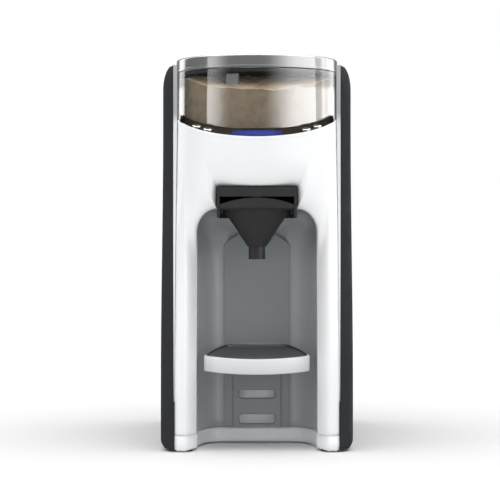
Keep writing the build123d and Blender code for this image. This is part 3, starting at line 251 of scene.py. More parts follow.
def ramp(tree, source, stops):  # colour ramp from (place, colour) pairs
    node = addNode(tree, "ValToRGB", {"Fac": source})
    line = node.color_ramp.elements
    line[0].position, line[1].position = stops[0][0], stops[-1][0]
    line[0].color, line[1].color = (*stops[0][1], 1), (*stops[-1][1], 1)
    for place, colour in stops[1:-1]:
        line.new(place).color = (*colour, 1)
    return node.outputs["Color"]


def remapped(tree, source, fromLow, fromHigh, toLow=0.0, toHigh=1.0):  # one range laid onto another
    ends = {"From Min": fromLow, "From Max": fromHigh, "To Min": toLow, "To Max": toHigh}
    return addNode(tree, "MapRange", {"Value": source, **ends}).outputs["Result"]


def swing(tree, source, low, high):  # the middle of a noise laid onto low to high
    return remapped(tree, source, 0.3, 0.7, low, high)


def along(tree, vector, axis):  # one coordinate of a place or of a normal
    return addNode(tree, "SeparateXYZ", {"Vector": vector}).outputs[axis]


def scaled(tree, colour, factor):  # colour times a factor
    return addNode(tree, "VectorMath", {0: colour, "Scale": factor}, "SCALE").outputs["Vector"]


def bumped(tree, height, strength, depth):  # normal bent by a grain
    return addNode(tree, "Bump", {"Height": height, "Strength": strength, "Distance": depth}).outputs["Normal"]


def clearWhere(tree, shader, share, tint):  # the shader gives way to plain see-through by a share
    clear = addNode(tree, "BsdfTransparent", {"Color": (*tint, 1)})
    mix = addNode(tree, "MixShader", {"Fac": share, 1: shader.outputs["BSDF"], 2: clear.outputs["BSDF"]})
    feed(tree, tree.nodes["Material Output"], {"Surface": mix.outputs["Shader"]})


# what a finish has where its own look doesn't say otherwise
usual = {"drift": 0.04, "patch": 18, "rough": 0.3, "smear": 55, "grain": 2600, "stretch": (1, 1, 1), "bump": 0.12,
         "depth": 0.00004, "metal": 0.0, "ior": 1.48, "spec": 0.5, "coat": 0.0, "coatRough": 0.05, "coatIor": 1.5}


def moulded(name, look):  # a moulding or a metal: drifting tone, drifting gloss and a fine grain
    mat, tree, shader, space = newMaterial(name)
    look = {**usual, **look}
    tone, drift, rough = np.array(look["tone"]), look["drift"], look["rough"]
    patches = noiseFrom(tree, space, look["patch"], 3)
    colour = ramp(tree, patches, [(0.3, tone * (1 - drift)), (0.7, np.minimum(tone * (1 + drift), 1))])
    if "shade" in look:  # painted shade or painted light: the tone scaled by a factor above a height
        height = along(tree, space, "Z")
        shade = remapped(tree, height, look["shadeFrom"], look["shadeTo"], 1.0, look["shade"])
        colour = scaled(tree, colour, shade)
    smears = noiseFrom(tree, space, look["smear"], 4)
    grain = noiseFrom(tree, space, look["grain"], 2, look["stretch"])
    feed(tree, shader, {
        "Base Color": colour, "Roughness": swing(tree, smears, rough * 0.88, min(rough * 1.14, 1)),
        "Normal": bumped(tree, grain, look["bump"], look["depth"]), "Metallic": look["metal"],
        "IOR": look["ior"], "Specular IOR Level": look["spec"], "Coat Weight": look["coat"],
        "Coat Roughness": look["coatRough"], "Coat IOR": look["coatIor"]})
    return mat


def clearMoulding(name, look):  # clear plastic that lets light by, with faint flow marks
    mat, tree, shader, space = newMaterial(name)
    tone, rough = np.array(look["tone"]), look["rough"]
    flow = noiseFrom(tree, space, look["flow"], 2, (1, 1, 0.25))
    feed(tree, shader, {
        "Base Color": ramp(tree, flow, [(0.3, tone * 0.98), (0.7, tone)]),
        "Roughness": swing(tree, flow, rough * 0.7, rough * 1.3), "IOR": look["ior"], "Transmission Weight": 1.0})
    if "film" in look:  # dusted by the powder up to a height, so it shines more there
        film = remapped(tree, along(tree, space, "Z"), look["filmFrom"], look["filmTo"], look["film"], 0.0)
        feed(tree, shader, {"Coat Weight": film, "Coat IOR": look["filmIor"], "Coat Roughness": rough})
    path = addNode(tree, "LightPath", {})
    either = path.outputs["Is Shadow Ray"]
    for kind in ("Is Glossy Ray", "Is Diffuse Ray"):
        either = addNode(tree, "Math", {0: either, 1: path.outputs[kind]}, "MAXIMUM").outputs[0]
    clearWhere(tree, shader, either, look["shade"])
    return mat


looks = {
    "white_shell": {"tone": (0.88, 0.895, 0.91), "rough": 0.42, "spec": 0.25, "drift": 0.008, "bump": 0.05},
    # tray band: the white moulding painted darker as shade, and painted lighter towards its top edge as light
    "tray_white": {"tone": (0.60, 0.612, 0.625), "rough": 0.42, "spec": 0.25, "drift": 0.008, "bump": 0.05,
                   "shadeFrom": 0.072, "shadeTo": 0.087, "shade": 1.28},
    "charcoal_panel": {"tone": (0.035, 0.036, 0.038), "rough": 0.8, "spec": 0.02, "grain": 1700, "bump": 0.25,
                       "depth": 0.00006},
    # painted shade: the trim is darker above 0.31 m, for the shade beside the drum
    "light_trim": {"tone": (0.78, 0.805, 0.825), "rough": 0.4, "drift": 0.02, "bump": 0.06,
                   "shadeFrom": 0.306, "shadeTo": 0.316, "shade": 0.55},
    "bay_grey": {"tone": (0.40, 0.425, 0.442), "rough": 0.45, "drift": 0.03, "bump": 0.1},
    # painted shade: above 18 mm, the tongue seen through the track's slots is darker
    "kick_grey": {"tone": (0.86, 0.875, 0.885), "rough": 0.42, "drift": 0.02, "bump": 0.08,
                  "shadeFrom": 0.0165, "shadeTo": 0.018, "shade": 0.72},
    # painted shade: the bay grey made darker on the track plate, for the shade under the tray and deep in the bay
    "track_grey": {"tone": (0.275, 0.292, 0.304), "rough": 0.45, "drift": 0.03, "bump": 0.1},
    "panel_black": {"tone": (0.008, 0.008, 0.009), "rough": 0.08, "drift": 0.1, "bump": 0.02, "ior": 1.45},
    "button_silver": {"tone": (0.36, 0.365, 0.37), "metal": 1.0, "bump": 0.05},
    "lid_grey": {"tone": (0.145, 0.146, 0.147), "rough": 0.2, "spec": 0.25, "drift": 0.03, "bump": 0.03,
                 "coat": 1.0, "coatIor": 1.52},
    "dark_plastic": {"tone": (0.03, 0.03, 0.031), "rough": 0.5, "spec": 0.12, "bump": 0.16},
    "works_grey": {"tone": (0.31, 0.32, 0.33), "rough": 0.4, "bump": 0.1},
    "tray_dark": {"tone": (0.022, 0.022, 0.023), "rough": 0.4, "grain": 1200, "bump": 0.3},
    "tray_insert": {"tone": (0.07, 0.071, 0.073), "rough": 0.35, "grain": 1200, "bump": 0.2},
    "rubber_black": {"tone": (0.011, 0.011, 0.011), "rough": 0.62, "grain": 1400, "bump": 0.3},
    "seal_grey": {"tone": (0.5, 0.51, 0.51), "rough": 0.5, "bump": 0.1},
    "steel": {"tone": (0.52, 0.53, 0.54), "rough": 0.34, "metal": 1.0, "stretch": (1, 1, 0.08), "bump": 0.2},
    "bronze": {"tone": (0.42, 0.25, 0.08), "rough": 0.4, "metal": 1.0, "grain": 3200, "bump": 0.35},
    "gear_nylon": {"tone": (0.78, 0.74, 0.62), "rough": 0.45, "bump": 0.08},
    "hose_clear": {"tone": (0.62, 0.63, 0.61), "rough": 0.35, "bump": 0.04},
}
finish = {slot: moulded(slot, look) for slot, look in looks.items()}

clearLooks = {
    "clear_plastic": {"tone": (0.95, 0.96, 0.965), "rough": 0.02, "shade": (0.9, 0.91, 0.92), "ior": 1.42, "flow": 30,
                      "film": 0.7, "filmFrom": 0.3385, "filmTo": 0.3435, "filmIor": 1.6},
    "smoked_plastic": {"tone": (0.30, 0.33, 0.36), "rough": 0.05, "shade": (0.35, 0.38, 0.42), "ior": 1.5,
                       "flow": 30},
}
finish.update({slot: clearMoulding(slot, look) for slot, look in clearLooks.items()})


def powderMaterial():  # warm powder: lumps in the tone, pits between grains, and painted light that makes it paler where it faces up
    look = {"light": (0.33, 0.255, 0.172), "dark": (0.25, 0.19, 0.124), "lumps": 140, "grains": 1400,
            "top": 2.7, "pits": 0.7, "pitDepth": 0.0005, "spec": 0.05}
    mat, tree, shader, space = newMaterial("powder")
    lumpy = noiseFrom(tree, space, look["lumps"], 6)
    dark, light = np.array(look["dark"]), np.array(look["light"])
    body = ramp(tree, lumpy, [(0.32, dark), (0.5, between(dark, light, 0.75)), (0.66, light)])
    # painted light: surfaces facing up are made up to 2.7 times paler, as if lit from above
    facing = along(tree, addNode(tree, "NewGeometry", {}).outputs["Normal"], "Z")
    grains = noiseFrom(tree, space, look["grains"], 3)
    feed(tree, shader, {
        "Base Color": scaled(tree, body, remapped(tree, facing, 0.3, 0.8, 1.0, look["top"])),
        "Roughness": swing(tree, grains, 0.85, 1.0), "Specular IOR Level": look["spec"],
        "Normal": bumped(tree, grains, look["pits"], look["pitDepth"])})
    return mat


def bandedMaterial(name, look):  # two tones in straight bands: solder mask with its tracks, or a flat cable's wires
    mat, tree, shader, space = newMaterial(name)
    wave = addNode(tree, "TexWave", {"Vector": space, "Scale": look["scale"], "Distortion": look["wobble"]})
    wave.wave_type, wave.bands_direction = "BANDS", "X"
    smears = noiseFrom(tree, space, look["smear"], look["detail"])
    feed(tree, shader, {"Base Color": ramp(tree, wave.outputs["Fac"], look["stops"]),
                        "Roughness": swing(tree, smears, *look["rough"])})
    return mat


bandedLooks = {
    "board_green": {"scale": 26.0, "wobble": 0.6, "smear": 40, "detail": 3, "rough": (0.25, 0.4),
                    "stops": [(0.55, (0.006, 0.075, 0.030)), (0.62, (0.012, 0.13, 0.052))]},
    "ribbon_grey": {"scale": 160, "wobble": 0.0, "smear": 60, "detail": 2, "rough": (0.4, 0.55),
                    "stops": [(0.3, (0.25, 0.25, 0.26)), (0.6, (0.46, 0.46, 0.47))]},
}


def displayMaterial():  # blue backlit window: its glow fades to both ends
    look = {"deep": (0.0025, 0.014, 0.15), "glow": (0.003, 0.030, 0.27), "halfWidth": 0.022, "gain": 0.5,
            "rough": 0.12, "coat": 0.3}
    mat, tree, shader, space = newMaterial("display_blue")
    across = remapped(tree, along(tree, space, "X"), -look["halfWidth"], look["halfWidth"])
    fade = ramp(tree, across, [(0.0, look["deep"]), (0.35, look["glow"]), (0.7, look["glow"]), (1.0, look["deep"])])
    feed(tree, shader, {"Base Color": fade, "Emission Color": fade, "Emission Strength": look["gain"],
                        "Roughness": look["rough"], "Coat Weight": look["coat"]})
    return mat


finish["powder"] = powderMaterial()
finish.update({slot: bandedMaterial(slot, look) for slot, look in bandedLooks.items()})
finish["display_blue"] = displayMaterial()

slotOf = {sub["node"]: sub["material_slot"] for sub in frame["record"]["subparts"]}
for nodeName, obj in frame["nodes"].items():
    obj.data.materials.clear()
    obj.data.materials.append(finish[slotOf[nodeName]])
    obj.data.shade_smooth()
    obj.data.set_sharp_from_angle(angle=math.radians(35))
    obj.visible_glossy = slotOf[nodeName] not in ("charcoal_panel", "light_trim")  # not mirrored in the drum
print("materials:", len(finish))


# front shell

soft = {"columnRound": 11.0, "columnDrop": 17.6, "columnPower": 1.7,
        "edgeRound": 5.0, "edgeDrop": 1.6, "edgePower": 2.2,
        "highRound": 14.0, "highDrop": 3.6, "highFromZ": 205.0, "highToZ": 265.0}


def softEdge(x, z):  # how far the shell's outer edge falls back, wider and deeper above the bay
    high = ease(soft["highFromZ"], soft["highToZ"], z)
    wide = between(soft["edgeRound"], soft["highRound"], high)
    edge = np.clip(1 - (shellEdgeX(z) - np.abs(x)) / wide, 0, 1)
    return between(soft["edgeDrop"], soft["highDrop"], high) * edge ** soft["edgePower"]


def columnFrontY(x, z):  # the bowed front, level from the fillet on, where it falls with a power of the way in
    start = machine["bayHalf"] + machine["linerGap"] + soft["columnRound"]
    inside = np.clip((start - np.abs(x)) / soft["columnRound"], 0, 1)
    level = frontY(np.maximum(np.abs(x), start), z)
    return level + soft["columnDrop"] * inside ** soft["columnPower"] + softEdge(x, z)


def archTurn(edge, crown, count):  # quarter of an ellipse, from a column's edge up to the arch's crown
    m, bend = machine, quarter(count)
    return np.stack([-m["crownHalf"] - (edge - m["crownHalf"]) * np.cos(bend),
                     m["shoulderZ"] + (crown - m["shoulderZ"]) * np.sin(bend)], axis=-1)


def shellOpening():  # from the left foot up the column, round the arch and up beside the funnel housing
    m = machine
    edge = m["bayHalf"] + m["linerGap"]
    return joined([[-edge, m["seam"] + m["seamGap"]]], archTurn(edge, m["crownZ"], 12),
                  [[-m["crownHalf"], m["housingTop"] + m["housingGap"]]])


def rimRun(count):  # the rim: where the bowed front meets the leaning plane, from the left corner to the right
    x = np.sin(np.linspace(-halfTurn / 2, halfTurn / 2, count)) * shellEdgeX(machine["rimEndZ"])
    z = np.full_like(x, machine["rimZ"])
    for _ in range(12):  # each pass comes closer to where both meet
        z = panelPlaneZ(frontY(x, z))
    return np.stack([x, z], axis=-1)


def buildFrontShell():  # straight lines from the opening out to the edge, laid on the bowed front with its fillets
    look = {"columnRows": 90, "boxRows": 26, "topRows": 60, "across": 44, "crowding": 1.6,
            "edgeSteps": 200, "rimSteps": 201, "boxStep": 33,
            "archRound": 30.0, "archDrop": 15.0, "archFromZ": 170.0, "archToZ": 222.0,
            "lipDown": 4.6, "lipDepth": 0.35, "lipWide": 0.22, "wall": 1.25}
    rim, left = rimRun(look["rimSteps"]), shellOpening()
    side = np.stack([np.zeros(look["edgeSteps"]), np.linspace(left[0, 1], rim[0, 1], look["edgeSteps"])], axis=-1)
    side[:, 0] = -shellEdgeX(side[:, 1])
    box, middle = look["boxStep"], look["rimSteps"] // 2
    # rows: left column, beside the housing, over the housing to the middle, then all of it mirrored
    shares = [np.linspace(0, 1, look["columnRows"])]
    shares += [np.linspace(0, 1, look[rows])[1:] for rows in ("boxRows", "topRows")]
    innerRuns = (left[:-1], left[-2:], np.array([left[-1], [0, left[-1, 1]]]))
    outerRuns = (side, rim[:box + 1], rim[box:middle + 1])
    inner, outer = (mirrored(np.concatenate([alongRun(run, share) for run, share in zip(runs, shares)]))
                    for runs in (innerRuns, outerRuns))
    share = np.linspace(0, 1, look["across"]) ** look["crowding"]
    spot = between(inner[:, None, :], outer[:, None, :], share[None, :, None])
    x, z = spot[..., 0], spot[..., 1]
    reach = np.hypot(*(outer - inner).T)[:, None] * share[None, :]
    high = ease(look["archFromZ"], look["archToZ"], inner[:, 1])[:, None]
    inside = np.clip(1 - reach / between(soft["columnRound"], look["archRound"], high), 0, 1)
    arch = look["archDrop"] * (1 - np.sqrt(np.maximum(1 - inside ** 2, 0)))
    y = between(columnFrontY(x, z), frontY(x, z) + arch + softEdge(x, z), high)
    below = (panelPlaneZ(frontY(x, z)) - z) / look["lipDown"]
    y = y + look["lipDepth"] * np.exp(-((below - 1) / look["lipWide"]) ** 2)
    sheet("shell_front", [np.stack([x, y, z], axis=-1)], "white_shell", "front_shell", look["wall"], sharp=50)


# bay: arch profile carried back, round its upright corners and in to the middle

def buildBay():
    look = {"overlap": 0.4, "topGap": 14.0, "straight": 16, "bend": 22, "inward": 20,
            "recess": 3.0, "recessHalf": 30.0, "recessSoft": 4.0, "topCorner": 12.0,
            "archFromZ": 175.0, "archToZ": 215.0, "turnFrom": 6.0, "crownFromX": -34.0, "middleTop": 170.0,
            "wall": 1.5}
    m = machine
    half, crown, back = m["bayHalf"], m["crownZ"] - m["linerGap"], m["bayBackY"]
    column = np.linspace(m["seam"] + m["seamGap"], m["shoulderZ"] - look["turnFrom"], 24)
    run = mirrored(joined(np.stack([np.full(24, -half), column], -1), archTurn(half, crown, 14),
                          np.stack([np.linspace(look["crownFromX"], 0, 8), np.full(8, crown)], -1)))
    runX, runZ = run.T
    ahead = np.gradient(run, axis=0)
    ahead /= np.hypot(*ahead.T)[:, None]
    inward = np.stack([ahead[:, 1], -ahead[:, 0]], axis=-1)
    high = ease(look["archFromZ"], look["archToZ"], runZ)
    across = between(half - m["bayFlat"], look["topCorner"], high)
    deep = between(m["baySweep"], look["topCorner"], high)
    near = between(columnFrontY(np.maximum(np.abs(runX), half + m["linerGap"]), runZ) - look["overlap"],
                   frontY(runX, runZ) + look["topGap"], high)
    straight = np.linspace(0, 1, look["straight"])[:, None]
    flatY = near + (back - deep - near) * straight
    flat = np.stack([np.broadcast_to(runX, flatY.shape), flatY, np.broadcast_to(runZ, flatY.shape)], axis=-1)
    angle = quarter(look["bend"])[1:, None]
    inset, depth = across * (1 - np.cos(angle)), back - deep * (1 - np.sin(angle))
    bent = np.stack([runX + inward[:, 0] * inset, depth, runZ + inward[:, 1] * inset], axis=-1)
    last = bent[-1]
    middle = np.stack([np.zeros(len(run)), np.full(len(run), back), np.minimum(last[:, 2], look["middleTop"])], -1)
    wall = last[None] + (middle - last)[None] * np.linspace(0, 1, look["inward"])[1:, None, None]
    rise = ease(look["recessHalf"] - look["recessSoft"], look["recessHalf"], np.abs(wall[..., 0]))
    wall[..., 1] += look["recess"] * (1 - rise)
    sheet("bay_walls", [np.concatenate([flat, bent, wall])], "bay_grey", "bay_liner", look["wall"])


buildFrontShell()
buildBay()
print("front built")


# powder drum and its lid

drum = {"centre": (0.0, -57.5), "radius": 78.3, "wall": 2.3, "low": 300.6, "high": 357.3, "edge": 0.8}


def buildDrum():  # upright wall with rounded edges, turned round the drum's axis
    d = drum
    edge = d["edge"]
    outer, inner = d["radius"] - edge, d["radius"] - d["wall"] + edge
    low, high = d["low"] + edge, d["high"] - edge
    profile = joined(arcPoints(outer, low, edge, -90, 0, 5), arcPoints(outer, high, edge, 0, 90, 5),
                     arcPoints(inner, high, edge, 90, 180, 5), arcPoints(inner, low, edge, 180, 270, 5))
    turned("drum_wall", "container", profile, d["centre"], "clear_plastic", "powder_container")


def buildDrumFloor():  # floor of the drum, set in from the wall so that the powder reaches down round it
    look = {"radius": 74.9, "hole": 12.6, "low": 300.9, "high": 303.9, "edge": 0.4}
    a, b, low, high, edge = look["radius"], look["hole"], look["low"], look["high"], look["edge"]
    profile = [[b, low], [a - edge, low], [a, low + edge], [a, high - edge], [a - edge, high], [b, high]]
    turned("drum_floor", "container", profile, drum["centre"], "dark_plastic", "container_floor", sharp=30)


def buildLid():  # disc, groove and rounded skirt turned round the drum's axis, a plug below and the seal round it
    look = {"low": 357.5, "high": 370.0, "rimDown": 0.15, "round": 2.0, "inset": 0.5, "wall": 2.4, "plate": 2.6,
            "discRadius": 68.3, "discRound": 0.8, "grooveDown": 0.35, "grooveWide": 1.2, "grooveIn": 0.5,
            "skirtRound": 0.7, "skirtOut": 0.1, "stepLow": 2.1, "stepHigh": 2.4,
            "plugOuter": 74.6, "plugInner": 72.6, "plugLow": 353.4, "plugEdge": 0.6, "plugGap": 2.7,
            "sealLow": 354.2, "sealHigh": 356.6, "sealGap": 0.06, "sealWall": 0.15, "sealFlat": (0.56, 1.2)}
    r, low, high, bend = drum["radius"], look["low"], look["high"], look["round"]
    face, top, rim = look["discRadius"], high - look["rimDown"], r - look["inset"]
    disc, skirt, wall = look["discRound"], look["skirtRound"], r - look["wall"]
    profile = joined([[0.0, high], [face * 0.5, high]], arcPoints(face - disc, high - disc, disc, 90, 0, 5),
                     [[face + look["grooveIn"], top - look["grooveDown"]], [face + look["grooveWide"], top]],
                     arcPoints(rim - bend, top - bend, bend, 90, 0, 9),
                     [[rim, low + look["stepHigh"]], [r - look["skirtOut"], low + look["stepLow"]]],
                     arcPoints(r - skirt, low + skirt, skirt, 0, -90, 5),
                     [[wall, low], [wall, top - look["plate"]], [0.0, top - look["plate"]]])
    turned("lid_cap", "lid", profile, drum["centre"], "lid_grey", "container_lid", closed=False, sharp=30)
    a, b, foot, edge = look["plugOuter"], look["plugInner"], look["plugLow"], look["plugEdge"]
    head = top - look["plugGap"]
    profile = [[a, head], [a, foot + edge], [a - edge, foot], [b + edge, foot], [b, foot + edge], [b, head]]
    turned("lid_plug", "lid", profile, drum["centre"], "rubber_black", "container_lid")
    ring = (a + look["sealGap"] + r - drum["wall"] - look["sealWall"]) / 2
    seal = arcPoints(ring, (look["sealLow"] + look["sealHigh"]) / 2, 1.0, 0, 360, 17)[:-1]
    seal = (seal - seal.mean(axis=0)) * list(look["sealFlat"]) + seal.mean(axis=0)
    turned("lid_seal_ring", "lid_seal", seal, drum["centre"], "rubber_black", "lid_gasket")


def lumps(angle, radius, seed):  # sum of seeded cosine waves over a disc, about -1 to 1
    wave = np.random.default_rng(seed)
    x, y = radius * np.cos(angle), radius * np.sin(angle)
    total = np.zeros_like(x)
    for reach in (46, 30, 21, 15, 11, 8, 6):  # wavelengths in mm
        turn, shift = wave.uniform(0, 2 * halfTurn, 2)
        total += reach ** 0.8 * np.cos((x * np.cos(turn) + y * np.sin(turn)) * 2 * halfTurn / reach + shift)
    return total / 42


def buildPowder():  # heap that climbs to the back, lumpy in the middle and wavy along the wall, closed below
    look = {"rings": 70, "turns": 288, "front": 336.5, "back": 349.6, "low": 301.3, "gap": 0.3, "middle": 0.6,
            "lumpHeight": 1.7, "wallWave": 1.0, "waveRadius": 60.0, "frontY": -133.0, "flatY": -92.0, "bulge": 0.9}
    centreX, centreY = drum["centre"]
    reach = drum["radius"] - drum["wall"] - look["gap"]
    radius = (np.linspace(0, 1, look["rings"]) * reach)[:, None]
    angle = np.linspace(0, 2 * halfTurn, look["turns"], endpoint=False)[None, :]
    radius, angle = np.broadcast_arrays(radius, angle)
    share = radius / reach
    x, y = centreX + radius * np.cos(angle), centreY + radius * np.sin(angle)
    slope = np.clip((y - look["frontY"]) / (look["flatY"] - look["frontY"]), 0, 1)
    height = between(look["front"], look["back"], slope ** look["bulge"]) + look["middle"] * (1 - share ** 2)
    height = height + look["lumpHeight"] * lumps(angle, radius, 5) * (1 - share ** 6)
    wave = lumps(angle, np.full_like(radius, look["waveRadius"]), 9)
    height = height + look["wallWave"] * wave * share ** 6
    top = np.stack([x, y, height], axis=-1)
    levels = np.linspace(1, 0, 10)[1:, None]
    side = np.repeat(top[-1:], len(levels), axis=0)
    side[..., 2] = look["low"] + (top[-1:, :, 2] - look["low"]) * levels
    base = side[-1:].copy()
    base[..., 0], base[..., 1] = centreX, centreY
    piece("powder_heap", "container", [(np.concatenate([top, side, base]), False, True)], "powder", "formula_powder")


buildDrum()
buildDrumFloor()
buildLid()
buildPowder()
print("drum built")


# tray: closed plan rings stepped up its outside, over the rim and down into the dish

tray = {"half": 49.6, "flat": 28.5, "bendY": -130.6, "nose": -150.0, "side": -131.0, "back": -73.5, "middleY": -108.0,
        "low": 71.6, "top": 85.9, "floor": 79.2, "lowLift": 0.2, "topLift": 0.6, "liftHalf": 60.0,
        "climb": 0.1, "backClimb": 0.05, "straighten": 1.5}


def trayPlan(inset, count=240):  # bowed front, then sides that sweep round to a flat back as half ellipses
    t = tray
    half, flat, bend = t["half"] - inset, t["flat"] - inset * 0.5, t["bendY"]
    nose, side, rear = t["nose"] + inset, t["side"] + inset, t["back"] - inset
    sag = side - nose
    radius = (half * half + sag * sag) / (2 * sag)
    turn = np.linspace(-1, 1, 60) * math.asin(half / radius)
    bow = np.stack([radius * np.sin(turn), nose + radius - radius * np.cos(turn)], axis=-1)
    angle = quarter(26)
    sweep = np.stack([flat + (half - flat) * np.cos(angle) ** t["straighten"],
                      bend + (rear - bend) * np.sin(angle) ** t["straighten"]], axis=-1)
    loop = spread(joined(bow, sweep, sweep[::-1] * [-1, 1]), count)
    for _ in range(2):  # softens the front corners
        loop = (np.roll(loop, 1, 0) + 2 * loop + np.roll(loop, -1, 0)) / 4
    return loop


def smile(plan, lift):  # grows with the square of x
    return lift * (plan[:, 0] / tray["liftHalf"]) ** 2


def trayRise(plan, edge, lift):  # the smile, and everything climbs a little to the back
    t = tray
    climb = t["climb"] * (plan[:, 1] - t["nose"]) + t["backClimb"] * np.maximum(plan[:, 1] - t["side"], 0)
    return edge + smile(plan, lift) + climb


def trayRings(steps, keep=slice(None)):  # a ring for each plan inset, edge and rise
    rings = []  # an inset of 20 is half way in and one of 40 the middle
    for inset, kind, rise in steps:
        ring = trayPlan(min(inset, 16.0))[keep]
        if inset > 16.0:
            middle = np.array([0.0, tray["middleY"]])
            ring = middle + (ring - middle) * (0.5 if inset < 30 else 0.0)
        low = trayRise(ring, tray["low"], tray["lowLift"])
        high = trayRise(ring, tray["top"], tray["topLift"])
        flat = np.full(len(ring), tray["floor"])
        z = {"low": low + rise, "top": high + rise, "mid": between(low, high, rise), "floor": flat}[kind]
        rings.append(np.column_stack([ring, z]))
    return np.array(rings)


def buildTray():  # white band round the front, over a dark dish
    look = {"round": 1.2, "under": 0.7, "bandBackY": -124.0}
    bend, r, under = quarter(6), look["round"], look["under"]
    band = [(3.0, "low", 0.1), (r + 1, "low", 0.0)]
    band += [(r * (1 - math.sin(b)), "low", r * (1 - math.cos(b))) for b in bend]
    band += [(0.0, "mid", 0.35), (0.0, "mid", 0.7)]
    band += [(r * (1 - math.cos(b)), "top", -r * (1 - math.sin(b))) for b in bend]
    band += [(1.9, "top", 0.0), (2.2, "top", -0.4), (2.2, "top", -2.0)]
    dish = [(40.0, "low", 0.5), (20.0, "low", 0.5), (1.4, "low", 0.5), (under, "low", 1.2), (under, "mid", 0.4),
            (under, "top", -1.2), (1.0, "top", -0.9), (2.6, "top", -0.9), (3.0, "top", -1.3),
            (3.0, "floor", 0.0), (20.0, "floor", 0.0), (40.0, "floor", 0.0)]
    front = np.flatnonzero(trayPlan(0.0)[:, 1] < look["bandBackY"])
    cut = np.flatnonzero(np.diff(front) > 1)
    front = np.roll(front, -cut[0] - 1) if len(cut) else front
    piece("tray_band", "tray", [(trayRings(band, front), False, False)], "tray_white", "tray_body",
          sharp=50, outward=False)
    piece("tray_dish", "tray", [(trayRings(dish), False, True)], "tray_dark", "tray_body", sharp=50)


def buildTrayInsert():  # ribbed plate just under the lip, following its smile
    look = {"gap": 3.5, "low": 79.4, "under": 0.9, "pitch": 6.0, "rib": 0.5, "from": -136.0, "to": -80.0,
            "climb": 0.12, "edge": ((0.0, 0.4), (0.15, 0.1), (0.6, 0.0)), "rows": 60}
    middle = np.array([0.0, tray["middleY"]])
    rim = [trayPlan(look["gap"] + inset) for inset, _ in look["edge"]]
    plans = rim + [between(rim[-1], middle, share) for share in np.linspace(0, 1, look["rows"])[1:]]
    downs = [down for _, down in look["edge"]] + [0.0] * (look["rows"] - 1)
    rings = [np.column_stack([rim[0], np.full(len(rim[0]), look["low"])])]
    for index, (plan, down) in enumerate(zip(plans, downs)):
        lip = tray["top"] + smile(plan, tray["topLift"]) + look["climb"] * (plan[:, 1] - tray["nose"])
        wave = np.cos((plan[:, 1] - look["from"]) / look["pitch"] * 2 * halfTurn)
        ribs = look["rib"] * (wave - 1) * 0.5 * ((plan[:, 1] > look["from"]) & (plan[:, 1] < look["to"]))
        rings.append(np.column_stack([plan, lip - look["under"] - down + ribs * (index > 2)]))
    piece("tray_plate", "tray", [(np.array(rings), False, True)], "tray_insert", "tray_insert",
          sharp=50)


buildTray()
buildTrayInsert()
print("tray built")


# base: a folded sheet, from the feet of the columns round the bay and round the back

def bayCorner(edge, back, count):  # plan of the bay's swept corner: quarter of an ellipse from its side to its back
    m, turn = machine, quarter(count)
    return np.stack([m["bayFlat"] + (edge - m["bayFlat"]) * np.cos(turn),
                     back - m["baySweep"] * (1 - np.sin(turn))], axis=-1)


def columnFront(fromX, toX, count):  # plan of one column's front at the seam, from one x to another
    x = np.linspace(fromX, toX, count)
    return np.stack([x, columnFrontY(x, machine["seam"])], axis=-1)


def sideWays(run):  # unit normals on the left of a run
    ahead = np.gradient(run, axis=0)
    ahead /= np.maximum(np.hypot(*ahead.T), 1e-9)[:, None]
    return np.stack([-ahead[:, 1], ahead[:, 0]], axis=-1)


def buildBase():  # inner and outer plan runs, each dropped from the seam and rolled under, joined across the top
    look = {"low": 1.2, "high": 15.2, "round": 4.0, "wall": 2.2, "frontSteps": 16, "rows": 90,
            "backY": 158.4, "backHalf": 78.7, "rearRound": 3.0, "narrowFromY": -100.0, "narrowToY": -96.0}
    m, rear, frontSteps = machine, look["rearRound"], look["frontSteps"]
    inner0, outer0 = m["bayHalf"] + m["linerGap"], float(shellEdgeX(m["seam"]))
    middle, back = (inner0 + outer0) / 2, m["bayBackY"] + m["linerGap"]
    inner = joined(columnFront(middle, inner0, frontSteps), bayCorner(inner0, back, 24), [[0.0, back]])
    outer = joined(columnFront(middle, outer0, frontSteps),
                   [[outer0, look["narrowFromY"]], [look["backHalf"], look["narrowToY"]]],
                   arcPoints(look["backHalf"] - rear, look["backY"] - rear, rear, 0, 90, 5), [[0.0, look["backY"]]])
    shares = np.linspace(0, 1, look["rows"])[1:]
    bend = quarter(7)
    pull, level = look["round"] * (1 - np.cos(bend)), look["low"] + look["round"] * (1 - np.sin(bend))
    columns = []
    for run, side in ((inner, 1), (outer, -1)):
        run = np.concatenate([run[:frontSteps], alongRun(run[frontSteps - 1:], shares)])
        normal = sideWays(run) * side
        normal[0] = (0, -1)
        ring = run[:, None, :] - normal[:, None, :] * pull[None, :, None]
        part = np.concatenate([ring, np.broadcast_to(level[None, :, None], ring.shape[:2] + (1,))], axis=-1)
        top = np.column_stack([run, np.full(len(run), look["high"])])[:, None, :]
        columns.append(np.concatenate([top, part], axis=1)[:, ::side])
    whole = mirrored(np.concatenate(columns, axis=1), (-1, 1, 1))
    sheet("base_shell", [whole], "white_shell", "base_pan", look["wall"], even=False)


def buildKick():  # skirt under the bay's walls, and the tongue that shows through the track's slots
    look = {"low": 1.2, "high": 15.2, "frontY": -131.5, "wall": 1.6, "levels": 5,
            "tongueHalf": 20.0, "tongueTop": 80.0, "tongueY": -67.4}
    half, back = machine["bayHalf"], machine["bayBackY"]
    run = mirrored(joined([[half, look["frontY"]]], bayCorner(half, back, 30), [[0.0, back]]))[::-1]
    x, y, z = np.broadcast_arrays(run[:, :1], run[:, 1:], np.linspace(look["low"], look["high"], look["levels"]))
    skirt = np.stack([x, y, z], axis=-1)
    x, z = np.meshgrid(np.linspace(-1, 1, 3) * look["tongueHalf"], np.linspace(look["low"], look["tongueTop"], 3),
                       indexing="ij")
    tongue = np.stack([x, np.full_like(x, look["tongueY"]), z], axis=-1)
    sheet("kick_skirt", [skirt, tongue], "kick_grey", "kick_panel", look["wall"])


